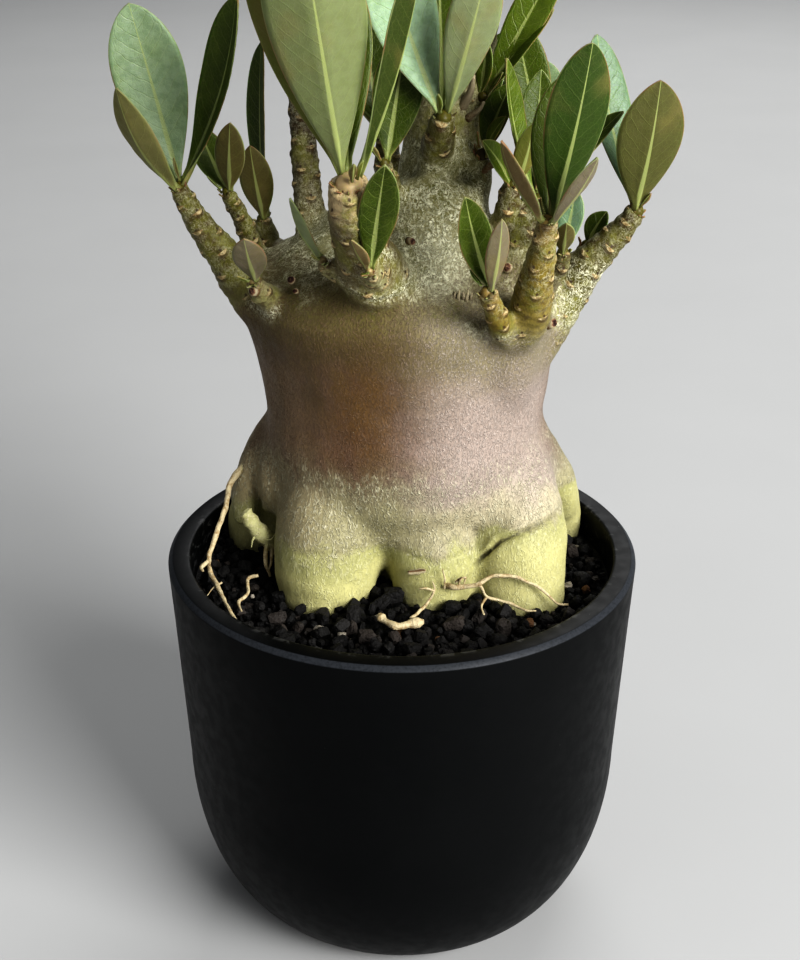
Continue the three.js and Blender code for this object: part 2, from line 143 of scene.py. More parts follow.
def objectOf(name, bm, smooth=True):
    mesh = bpy.data.meshes.new(name)
    bm.to_mesh(mesh)
    bm.free()
    mesh.polygons.foreach_set("use_smooth", [smooth] * len(mesh.polygons))
    return placed(name, mesh)


def twoSheets(bm, across, steps):
    # the two sides of a thin plate, as the vertices of its upper and of its lower side
    upper = bmesh.ops.create_grid(bm, x_segments=across, y_segments=steps, size=1)["verts"]
    faces = list(dict.fromkeys(f for v in upper for f in v.link_faces))
    made = bmesh.ops.extrude_face_region(bm, geom=faces)["geom"]
    return upper, [g for g in made if isinstance(g, bmesh.types.BMVert)]


def evaluatedMesh(source):
    # the mesh of an object with its modifiers applied; the object itself is removed
    bpy.context.view_layer.update()
    mesh = bpy.data.meshes.new_from_object(source.evaluated_get(bpy.context.evaluated_depsgraph_get()))
    bpy.data.objects.remove(source)
    return mesh


def finishPiece(piece, material, slotName, *nodes):
    piece.data.materials.clear()
    piece.data.materials.append(material)
    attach(piece, "root")
    if nodes:
        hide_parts(*nodes)
    return piece


def pointValues(mesh, name, values, kind="FLOAT"):
    field = {"FLOAT": "value", "FLOAT_VECTOR": "vector", "FLOAT_COLOR": "color"}[kind]
    layer = mesh.attributes.new(name, kind, "POINT")
    layer.data.foreach_set(field, np.ascontiguousarray(values, np.float32).ravel())


def readPoints(mesh, normals=False):
    values = np.empty(len(mesh.vertices) * 3, np.float32)
    source = mesh.vertex_normals if normals else mesh.vertices
    source.foreach_get("vector" if normals else "co", values)
    return values.reshape(-1, 3).astype(float)


# Small helpers for shader nodes

class Field:
    # a shader socket that takes part in sums
    def __init__(self, socket):
        self.socket = socket
        self.tree = socket.id_data

    def __add__(self, other):
        return maths("ADD", self, other)

    def __radd__(self, other):
        return maths("ADD", other, self)

    def __sub__(self, other):
        return maths("SUBTRACT", self, other)

    def __rsub__(self, other):
        return maths("SUBTRACT", other, self)

    def __mul__(self, other):
        return maths("MULTIPLY", self, other)

    def __truediv__(self, other):
        return maths("DIVIDE", self, other)

    def __pow__(self, other):
        return maths("POWER", self, other)

    def __abs__(self):
        return maths("ABSOLUTE", self)


def connect(value, socket):
    # a field is linked to the socket, and anything else becomes its fixed value
    if isinstance(value, Field):
        value.tree.links.new(value.socket, socket)
    elif socket.type == "RGBA":
        socket.default_value = (*value, 1)
    else:
        socket.default_value = value


def treeOf(*values):
    return next(value.tree for value in values if isinstance(value, Field))


def newNode(tree, kind, inputs, **settings):
    made = tree.nodes.new(kind)
    for key, value in settings.items():
        setattr(made, key, value)
    for key, value in inputs.items():
        connect(value, made.inputs[key])
    return made


def fieldsOf(node):
    return {socket.name: Field(socket) for socket in node.outputs}


def maths(operation, *values, clamp=False):
    inputs = dict(enumerate(values))
    return Field(newNode(treeOf(*values), "ShaderNodeMath", inputs, operation=operation,
                         use_clamp=clamp).outputs[0])


def remap(value, low, high, toLow=0.0, toHigh=1.0, kind="SMOOTHSTEP"):
    # a change from one value to another, smooth unless told otherwise; low may be above high
    inputs = {"Value": value, "From Min": low, "From Max": high, "To Min": toLow, "To Max": toHigh}
    return Field(newNode(value.tree, "ShaderNodeMapRange", inputs, interpolation_type=kind).outputs[0])


def window(value, start, full, fade, end):
    # 1 between full and fade, 0 before the start and after the end
    return remap(value, start, full) * remap(value, end, fade)


def mixed(factor, first, second, blend="MIX"):
    made = newNode(treeOf(factor, first, second), "ShaderNodeMix", {0: factor, 6: first, 7: second},
                   data_type="RGBA", blend_type=blend, clamp_factor=True)
    return Field(made.outputs[2])


def tinted(colour, tint):
    return mixed(1.0, colour, tint, "MULTIPLY")


def colourRamp(value, stops):
    made = newNode(value.tree, "ShaderNodeValToRGB", {"Fac": value})
    ramp = made.color_ramp
    ramp.interpolation = "EASE"
    while len(ramp.elements) < len(stops):
        ramp.elements.new(0.5)
    for element, (place, colour) in zip(ramp.elements, stops):
        element.position = place
        element.color = (*colour, 1)
    return Field(made.outputs["Color"])


def scaled(vector, x, y, z, move=(0.0, 0.0, 0.0)):
    inputs = {"Vector": vector, "Scale": (x, y, z), "Location": move}
    return Field(newNode(vector.tree, "ShaderNodeMapping", inputs).outputs[0])


def upright(vector, squeeze):
    # drawn out along the height
    return scaled(vector, 1, 1, squeeze)


def axesOf(vector):
    split = newNode(vector.tree, "ShaderNodeSeparateXYZ", {"Vector": vector})
    return [Field(socket) for socket in split.outputs]


def lengthOf(vector):
    made = newNode(vector.tree, "ShaderNodeVectorMath", {0: vector}, operation="LENGTH")
    return Field(made.outputs["Value"])


def noiseOf(vector, scale, detail=2.0, rough=0.5, distort=0.0):
    inputs = {"Vector": vector, "Scale": scale, "Detail": detail, "Roughness": rough, "Distortion": distort}
    return Field(newNode(vector.tree, "ShaderNodeTexNoise", inputs).outputs[0])


def cellsOf(vector, scale, **settings):
    inputs = {"Vector": vector, "Scale": scale}
    return fieldsOf(newNode(vector.tree, "ShaderNodeTexVoronoi", inputs, **settings))


def attributeOf(place, name, output="Fac"):
    # what the mesh carries at its points under this name
    return fieldsOf(newNode(place.tree, "ShaderNodeAttribute", {}, attribute_name=name))[output]


def newGroup(name, inputs, outputs):
    # a shader group that gives values; an input without a value of its own is a vector
    tree = bpy.data.node_groups.new(name, "ShaderNodeTree")
    for label, value in inputs.items():
        kind = "NodeSocketVector" if value is None else "NodeSocketFloat"
        socket = tree.interface.new_socket(label, in_out="INPUT", socket_type=kind)
        if value is not None:
            socket.default_value = value
    for label in outputs:
        tree.interface.new_socket(label, in_out="OUTPUT", socket_type="NodeSocketFloat")
    return tree, fieldsOf(tree.nodes.new("NodeGroupInput")), tree.nodes.new("NodeGroupOutput").inputs


def placeGroup(group, **inputs):
    return fieldsOf(newNode(treeOf(*inputs.values()), "ShaderNodeGroup", inputs, node_tree=group))


def newMaterial(name, settings):
    # a Principled material with its fixed values set on the shader itself
    material = bpy.data.materials.new(name)
    material.use_nodes = True
    tree = material.node_tree
    shader = tree.nodes["Principled BSDF"]
    for key, value in settings.items():
        connect(value, shader.inputs[key])
    place = fieldsOf(newNode(tree, "ShaderNodeTexCoord", {}))["Object"]
    return material, shader, scaled(place, 1000, 1000, 1000)  # the place in millimetres


def dress(shader, colour, gloss, relief, depth):
    # the look of a material: its colour, its roughness and a bump of a depth in metres
    connect(colour, shader.inputs["Base Color"])
    connect(gloss, shader.inputs["Roughness"])
    bump = newNode(relief.tree, "ShaderNodeBump", {"Height": relief, "Distance": depth, "Strength": 1.0})
    connect(Field(bump.outputs[0]), shader.inputs["Normal"])


# Shader groups that several materials use

def makeCurlGroup():
    # fine curly strokes: the level lines of a distorted noise
    inputs = {"Vector": None, "Scale": 1.0, "Width": 0.03, "Distortion": 0.5}
    tree, given, out = newGroup("curlyStrokes", inputs, ["Mask"])
    wave = noiseOf(given["Vector"], given["Scale"], 1.0, 0.5, given["Distortion"])
    line = maths("SUBTRACT", 1.0, abs(wave - 0.5) / given["Width"], clamp=True)
    broken = remap(noiseOf(given["Vector"], given["Scale"] * 0.7), 0.36, 0.56)
    connect(line * broken, out["Mask"])
    return tree


def makeSpeckGroup():
    # scattered small round specks, only some of the cells filled
    inputs = {"Vector": None, "Scale": 1.0, "Size": 0.12, "Share": 0.3}
    tree, given, out = newGroup("specks", inputs, ["Mask"])
    cells = cellsOf(given["Vector"], given["Scale"])
    draw = fieldsOf(newNode(tree, "ShaderNodeSeparateColor", {"Color": cells["Color"]}))
    size = given["Size"] * (draw["Green"] + 0.35)
    dot = maths("SUBTRACT", 1.0, cells["Distance"] / size, clamp=True)
    connect(remap(dot, 0.0, 0.5) * maths("LESS_THAN", draw["Red"], given["Share"]), out["Mask"])
    return tree


def makeGrainGroup():
    # an uneven fine surface: a height for the bump and a value that varies the gloss
    tree, given, out = newGroup("fineGrain", {"Vector": None, "Scale": 1.0}, ["Height", "Variation"])
    fine = noiseOf(given["Vector"], given["Scale"], 3.0, 0.6)
    coarse = noiseOf(given["Vector"], given["Scale"] * 0.11, 3.0, 0.55)
    connect(fine * 0.5 + coarse * 0.5, out["Height"])
    connect(coarse, out["Variation"])
    return tree


def strokesOn(vector, scale, width, distortion):
    return placeGroup(curlGroup, Vector=vector, Scale=scale, Width=width, Distortion=distortion)["Mask"]


def specksOn(vector, scale, size, share):
    return placeGroup(speckGroup, Vector=vector, Scale=scale, Size=size, Share=share)["Mask"]


def grainOn(vector, scale, smoothest, roughest):
    # the height of the grain, and a roughness that varies with it
    grain = placeGroup(grainGroup, Vector=vector, Scale=scale)
    return grain["Height"], remap(grain["Variation"], 0.3, 0.7, smoothest, roughest)


curlGroup = makeCurlGroup()
speckGroup = makeSpeckGroup()
grainGroup = makeGrainGroup()


# Camera, lights and floor

view = {
    "lens": 60, "eye": (-0.5, -366.6, 294.8), "down": 25.45, "target": (0, 0, 120),
    "keyPlace": (1200, -1250, 1000), "keySize": 1150, "keyPower": 66.0,
    "fillPlace": (-1240, -660, 760), "fillSize": 1400, "fillPower": 2.2,
    "rimPlace": (420, 1300, 1250), "rimSize": 1300, "rimPower": 15.0,
    "sky": (0.86, 0.90, 0.95), "skyStrength": 0.15, "floor": (0.42, 0.42, 0.415), "floorSize": 9000,
    "look": "High Contrast",
}


def makeView():
    scene = bpy.context.scene
    camera = bpy.data.objects.new("camera", bpy.data.cameras.new("camera"))
    camera.data.lens = view["lens"]
    camera.data.clip_start = 0.01
    camera.location = Vector(view["eye"]) * mm
    camera.rotation_euler = (math.radians(90 - view["down"]), 0, 0)
    scene.collection.objects.link(camera)
    scene.camera = camera
    target = Vector(view["target"]) * mm
    for name in ("key", "fill", "rim"):
        lamp = bpy.data.objects.new(name, bpy.data.lights.new(name, "AREA"))
        lamp.data.energy = view[name + "Power"]
        lamp.data.size = view[name + "Size"] * mm
        lamp.location = Vector(view[name + "Place"]) * mm
        lamp.rotation_euler = (target - lamp.location).to_track_quat("-Z", "Y").to_euler()
        scene.collection.objects.link(lamp)
    world = bpy.data.worlds.new("studio")
    world.use_nodes = True
    sky = world.node_tree.nodes["Background"].inputs
    connect(view["sky"], sky["Color"])
    connect(view["skyStrength"], sky["Strength"])
    scene.world = world
    scene.view_settings.view_transform = "Standard"
    scene.view_settings.look = view["look"]


def makeFloor():
    bm = bmesh.new()
    bmesh.ops.create_grid(bm, x_segments=1, y_segments=1, size=view["floorSize"] * mm / 2)
    floor = objectOf("floor", bm)
    material, shader, place = newMaterial("paleFloor", {"Roughness": 0.7, "Specular IOR Level": 0.3})
    dim, bright = [[c * level for c in view["floor"]] for level in (0.96, 1.03)]
    connect(mixed(noiseOf(place, 0.01, 4.0), dim, bright), shader.inputs["Base Color"])
    floor.data.materials.append(material)


makeView()
makeFloor()
print("stage: camera, lights and floor")


# Pot: a straight wall over a belly that rounds in to a small flat foot, four drain holes

pot = {
    "radius": 60.0, "height": 102.0, "bellyRadius": 57.2, "bellyHeight": 45.0, "footRadius": 34.0,
    "wall": 5.8, "floor": 5.0, "holeRadius": 4.0, "holeCircle": 18.0, "holes": 4, "sides": 176,
    "footRound": 1.2, "outerRings": (58, 72, 86), "innerRings": (98, 90, 70),
    "lip": [(0, 1.5), (0.03, 1.25), (0.14, 1.06), (1.02, 0.15), (1.2, 0.04), (1.4, 0), (4.9, 0), (5.3, 0.08),
            (5.62, 0.32), (5.76, 0.8)],  # in from the rim, down from the top: a bevel outside, a round inside
    # the rim's blue-grey is partly wear and partly a painted reflection
    "colour": (0.0027, 0.0031, 0.0033), "rimWearAndSheen": (0.034, 0.037, 0.042), "dust": (0.16, 0.16, 0.155),
}


def wallRadius(height, inset):
    share = (height - pot["bellyHeight"]) / (pot["height"] - pot["bellyHeight"])
    return pot["bellyRadius"] + (pot["radius"] - pot["bellyRadius"]) * share - inset


def bellyOutline(inset, floor, steps):
    points = []
    for i in range(steps + 1):
        turn = i / steps * math.pi / 2
        radius = pot["footRadius"] + (pot["bellyRadius"] - pot["footRadius"]) * math.sin(turn) - inset
        points.append((radius, floor + (pot["bellyHeight"] - floor) * (1 - math.cos(turn))))
    return points


def makePotMaterial():
    material, shader, place = newMaterial("mattBlackPot", {"Specular IOR Level": 0.12})
    relief, gloss = grainOn(place, 2.6, 0.40, 0.50)
    height = axesOf(place)[2]
    reach = lengthOf(scaled(place, 1, 1, 0))
    # the bevel of the rim is a speckled blue-grey, partly wear and partly a painted reflection
    rim = remap(reach, 58.7, 59.0) * remap(height, 100.6, 100.95)
    wear = remap(noiseOf(place, 1.6, 3.0, 0.7), 0.25, 0.6, 0.45, 1.0)
    wall = mixed(rim * wear, pot["colour"], pot["rimWearAndSheen"])
    # dried mineral marks where water stood, inside the wall just above the grit
    inside = remap(reach, 56.4, 54.9) * remap(height, 92.0, 93.0)
    marks = remap(noiseOf(upright(place, 2.4), 0.28, 5.0, 0.65, 0.6), 0.53, 0.66)
    dust = maths("MAXIMUM", specksOn(place, 0.16, 0.035, 0.35) * 0.55, inside * marks * 0.32)
    film = remap(noiseOf(place, 0.03, 5.0, 0.6), 0.35, 0.7, 0.0, 0.006)
    dress(shader, mixed(dust + film, wall, pot["dust"]), gloss, relief + dust * 0.6, 0.000015)
    return material


def makePot():
    wall, floor = pot["wall"], pot["floor"]
    outline = [(0, 0), (pot["footRadius"] - pot["footRound"], 0)] + bellyOutline(0, 0, 22)
    outline += [(wallRadius(h, 0), h) for h in pot["outerRings"]]
    outline += [(pot["radius"] - inset, pot["height"] - drop) for inset, drop in pot["lip"]]
    outline += [(wallRadius(h, wall), h) for h in pot["innerRings"]]
    outline += bellyOutline(wall, floor, 14)[::-1] + [(0, floor)]
    shell = objectOf("pot_shell", spun(outline, pot["sides"]))
    drills = bmesh.new()
    radius = pot["holeRadius"] * mm
    for i in range(pot["holes"]):
        turn = (i + 0.5) / pot["holes"] * math.tau
        place = Vector((math.cos(turn), math.sin(turn), 0)) * pot["holeCircle"] * mm
        bmesh.ops.create_cone(drills, cap_ends=True, segments=32, radius1=radius, radius2=radius,
                              depth=floor * 3 * mm, matrix=Matrix.Translation(place))
    drill = objectOf("drain_drills", drills)
    cut = shell.modifiers.new("drain holes", "BOOLEAN")
    cut.operation = "DIFFERENCE"
    cut.object = drill
    piece = placed("planter", evaluatedMesh(shell))
    bpy.data.objects.remove(drill)
    finishPiece(piece, makePotMaterial(), "pot", "pot")


makePot()
print("pot: turned, drilled")


# Caudex: the swollen body, its toes and its limbs, one grown body

shoots = {
    "left_arm": {
        "line": [(-22, 4, 158), (-34, 0, 169), (-42, -4, 181), (-47, -6, 189), (-51, -8, 198)],
        "radii": [10, 7, 4.2, 3.1, 2.1], "bark": "yellowGreen",
        "leaves": [
            ((-60.5, -2, 238), 16.5, (0.1, -1, 0.25), -2, 8, "pale", "olive"),
            ((-35.5, -12, 241), 13, (-0.85, -0.6, 0.1), -3, 24, "dark", "olive"),
            ((-61.5, -19, 223), 10.5, (0.5, 0.75, 0.45), -3, 14, "dark", "dun"),
            ((-63, 3, 217), 10.5, (0.5, -0.8, 0.4), -2, 12, "dark", "olive"),
        ],
    },
    "back_left_slim": {
        "line": [(-26, 14, 166), (-35, 14, 174), (-39, 12, 185), (-42, 10, 192)],
        "radii": [4.5, 2.8, 2.2, 1.8], "bark": "yellowGreen",
        "leaves": [
            ((-40, 5, 210), 7.5, (0.1, 1, 0.3), -1, 8, "mid", "brown"),
            ((-49, 15, 207), 8, (0.2, -1, 0.3), -1, 12, "dark", "olive"),
        ],
    },
    "back_left_stub": {
        "line": [(-24, 22, 164), (-33, 25, 173), (-35, 25, 181)],
        "radii": [6, 3.6, 2.3], "bark": "olive",
        "leaves": [
            ((-37, 20, 201), 8.5, (0.1, 1, 0.2), -1, 8, "mid", "brown"),
            ((-34, 30, 224), 10, (-0.8, -0.5, 0.1), 1, 16, "mid", "olive"),
        ],
    },
    "tall_left": {
        "line": [(-14, 10, 168), (-21, 12, 178), (-23, 14, 193), (-24, 16, 209), (-26, 20, 226)],
        "radii": [6, 4.2, 3.4, 3, 2.3], "bark": "brown",
        "leaves": [
            ((-46, 26, 262), 14, (0.7, -0.4, 0.5), -3, 14, "bright", "olive"),
            ((-20, 34, 268), 13, (0, -0.9, 0.2), -2, 12, "pale", "olive"),
            ((-30, 8, 262), 12, (0.1, 0.9, 0.3), -2, 14, "mid", "olive"),
            ((-32, 44, 246), 10, (0.1, -0.6, 0.8), 2, 14, "bright", "olive"),
        ],
    },
    "front_left": {
        "line": [(0, -8, 168), (-6, -21, 181.5), (-10, -32, 193), (-11, -39, 202), (-11, -42, 208)],
        "radii": [10, 8, 5.1, 4.6, 4.4], "bark": "pinkTop",
        "leaves": [
            ((-19, -59.6, 264), 21, (-0.12, 1, 0.25), -2, 18, "mid", "paleUnder"),
            ((-29, -43, 258), 14, (0.35, 0.9, 0.2), -2, 10, "mid", "olive"),
            ((4, -50, 258), 12, (-0.9, 0.35, 0.1), -2, 20, "dark", "deepOlive"),
            ((-13, -26, 250), 13, (0.1, -1, 0.2), -3, 14, "dark", "olive"),
        ],
    },
    "left_twig": {
        "line": [(6, 0, 188), (1, -5, 193), (-2, -9, 199), (-4, -10, 204)],
        "radii": [4, 2.6, 2, 1.7], "bark": "olive",
        "leaves": [((1, -8, 233), 11.5, (0.05, -1, 0.1), -1, 10, "mid", "olive")],
    },
    "front_bud": {
        "line": [(-3, -20, 180), (-6, -31, 184), (-7, -37, 187.5)],
        "radii": [3.4, 2.4, 1.5], "bark": "crown",
        "leaves": [
            ((-3.5, -50, 214), 8.6, (0.1, -1, -0.1), -1, 10, "mid", "olive"),
            ((-10.5, -45, 197), 4.5, (0.5, 0.6, 0.6), -0.5, 16, "mid", "pink"),
        ],
    },
    "left_front_bud": {
        "line": [(-12, -16, 180), (-16.5, -24, 184), (-17.5, -26, 186.5)],
        "radii": [3.2, 2, 1.4], "bark": "crown",
        "leaves": [((-24, -31, 202), 7, (0.8, 0.35, 0.5), -1.5, 18, "mid", "greyGreen")],
    },
    "left_shoulder_bud": {
        "line": [(-26, -4, 168), (-32, -14, 174.5), (-34, -18, 179)],
        "radii": [4.2, 2.8, 1.7], "bark": "crown",
        "leaves": [((-34.5, -29, 192.4), 7.8, (0, 0.55, 0.85), -0.6, 8, "mid", "greyPink")],
    },
    "trunk": {
        "line": [(6, 6, 160), (7, 6, 178), (9, 6, 194), (10, 7, 206), (11, 8, 216), (15, 9, 224),
                 (19, 9, 232),
                 (20, 10, 243)],
        "radii": [20, 13, 10.6, 9.6, 8.6, 6, 3.2, 2.3], "bark": "crown",
        "leaves": [
            ((44, 2, 274), 14, (-0.5, -0.3, 0.8), 2, 18, "bright", "olive"),
            ((30, -16, 282), 15, (-0.2, 0.8, 0.4), -2, 14, "mid", "paleUnder"),
            ((6, 4, 286), 14, (0.9, -0.2, 0.3), -2, 14, "mid", "olive"),
            ((18, 34, 280), 14, (0.1, -0.9, 0.3), -2, 14, "pale", "olive"),
        ],
    },
    "trunk_front": {
        "line": [(9, 2, 194), (8, -5, 205), (8.5, -10, 211), (9, -12, 215)],
        "radii": [6, 4.2, 3.3, 2.7], "bark": "olive",
        "leaves": [
            ((18, -24, 251), 11.5, (-0.1, 1, 0.25), -1.5, 10, "mid", "greyGreen"),
            ((-5, -15, 254), 16, (0.3, -1, 0.2), -2, 12, "blue", "olive"),
            ((8, 0, 252), 13, (0, -1, 0.2), -2, 12, "dark", "olive"),
        ],
    },
    "trunk_right": {
        "line": [(14, 9, 203), (17, 6, 210), (18.5, 3, 216)],
        "radii": [5, 2.6, 1.9], "bark": "olive",
        "leaves": [
            ((34, 3, 236), 8.5, (-0.55, -0.7, 0.5), 1.5, 26, "bright", "olive"),
            ((19, -1, 230), 4.5, (-0.4, -0.9, 0.1), -0.5, 14, "bright", "olive"),
            ((36, 4, 248), 9, (-0.2, -0.9, 0.3), 1, 14, "bright", "olive"),
        ],
    },
    "right_knob": {
        "line": [(10, 2, 184), (17, 0, 195), (18.5, -2, 204)],
        "radii": [6, 3.8, 2.3], "bark": "brown",
        "leaves": [
            ((25, 0.5, 220), 8, (-0.5, -0.8, 0.4), 1, 22, "mid", "olive"),
            ((23.5, -7, 214), 5, (-0.4, -0.5, 0.8), 1, 14, "bright", "brown"),
        ],
    },
    "right_twig": {
        "line": [(19, 0, 174), (22.5, -5, 184), (24, -8, 193), (25, -9, 199)],
        "radii": [5, 3.2, 2.9, 2.3], "bark": "olive",
        "leaves": [
            ((17.5, -17, 211), 6.4, (0.5, -0.7, 0.5), 0.8, 16, "bright", "olive"),
            ((29, -13, 214), 6, (-0.3, 0.9, 0.2), -1, 14, "bright", "olive"),
        ],
    },
    "right_mid": {
        "line": [(22, -2, 166), (25, -8, 178), (28, -9, 187), (31, -8, 195)],
        "radii": [7, 4.4, 3.5, 2.6], "bark": "olive",
        "leaves": [
            ((23, -7, 227), 8, (0.85, -0.5, 0.1), -1.5, 20, "bright", "olive"),
            ((32, 6, 222), 10, (0, -0.95, 0.3), -2, 12, "dark", "olive"),
            ((49.5, -8, 215.5), 7, (-0.5, -0.5, 0.7), 1, 18, "dark", "brown"),
        ],
    },
    "front_right": {
        "line": [(22, -10, 160), (28, -20, 170), (29.5, -28, 182), (30.5, -33, 192), (31, -35, 198)],
        "radii": [7, 5.6, 4.0, 2.8, 2.3], "bark": "yellowBrown",
        "leaves": [
            ((37.5, -44, 237), 13.5, (-0.25, 1, 0.15), -1.5, 9, "mid", "green"),
            ((20, -46, 218), 8, (0.7, 0.4, 0.6), -1.5, 16, "mid", "pink"),
            ((39, -50, 215.5), 6.5, (-0.5, 0.5, 0.75), -1, 14, "mid", "greyPink"),
            ((33, -24, 226), 10, (-0.1, -0.95, 0.3), -1.5, 12, "dark", "olive"),
        ],
    },
    "right_arm": {
        "line": [(26, -2, 154), (37, -4, 170), (44, -6, 180), (50, -7, 187), (54, -8, 192.5)],
        "radii": [10, 6.5, 4.2, 3.1, 2.1], "bark": "olive",
        "leaves": [
            ((56, -16, 224), 15.5, (-0.2, 1, 0.25), -1.5, 7, "mid", "oliveBrown"),
            ((44.5, 8, 229.5), 12, (0.55, -0.85, 0.2), -2, 12, "sage", "olive"),
        ],
    },
    "right_bud": {
        "line": [(32, -10, 174), (36, -16, 182), (36.5, -18, 186)],
        "radii": [3.4, 2.2, 1.5], "bark": "olive",
        "leaves": [
            ((36, -26, 195), 4.8, (0, 0.8, 0.5), -0.6, 16, "mid", "brown"),
            ((38.8, -16, 200), 6, (-0.2, -1, 0.2), -0.8, 12, "sage", "olive"),
        ],
    },
    "right_side_bud": {
        "line": [(36, 0, 168), (42, 1, 178), (43.5, 1.5, 181.5)],
        "radii": [4, 2.2, 1.5], "bark": "olive",
        "leaves": [((48.6, 3, 189.3), 6, (-0.5, -0.7, 0.5), 0.8, 16, "mid", "olive")],
    },
    "front_right_bud": {
        "line": [(24, -20, 166), (21.5, -29, 174), (18.5, -33, 181.5)],
        "radii": [3.6, 2.6, 2.0], "bark": "yellowBrown",
        "leaves": [
            ((13, -41, 205), 8.2, (0.35, -0.9, 0.2), -1, 12, "mid", "olive"),
            ((20.5, -45, 201.5), 5.6, (-0.35, 0.85, 0.4), -1, 14, "mid", "greyPink"),
        ],
    },
    "back_middle": {
        "line": [(2, 20, 162), (0, 30, 174), (-3, 36, 188), (-4, 39, 200)],
        "radii": [9, 5.4, 4, 2.6], "bark": "olive",
        "leaves": [
            ((-12, 52, 236), 14, (0.2, -0.9, 0.3), -2, 12, "mid", "olive"),
            ((8, 54, 232), 13, (-0.2, -0.85, 0.4), -2, 12, "pale", "olive"),
            ((-22, 40, 226), 11, (0.7, -0.2, 0.6), -2, 14, "dark", "olive"),
            ((2, 62, 214), 10, (0, -0.6, 0.8), 1, 14, "bright", "olive"),
        ],
    },
    "back_right": {
        "line": [(18, 20, 160), (28, 28, 172), (34, 33, 184), (37, 36, 194)],
        "radii": [8, 5, 3.4, 2.3], "bark": "yellowGreen",
        "leaves": [
            ((28, 42, 228), 12, (0, -0.9, 0.2), -2, 12, "dark", "olive"),
            ((52, 46, 218), 12, (-0.6, -0.4, 0.6), -2, 14, "mid", "olive"),
            ((38, 58, 214), 10, (-0.1, -0.7, 0.7), 1, 14, "pale", "brown"),
            ((20, 44, 216), 9, (0.6, -0.4, 0.6), -1, 14, "mid", "olive"),
        ],
    },
    "back_inner": {
        "line": [(8, 12, 176), (12, 20, 188), (14, 25, 198)],
        "radii": [6, 3.4, 2.4], "bark": "olive",
        "leaves": [
            ((24, 30, 226), 10, (-0.4, -0.8, 0.4), -1, 14, "mid", "olive"),
            ((4, 28, 224), 9, (0.5, -0.7, 0.4), -1, 14, "bright", "olive"),
        ],
    },
}

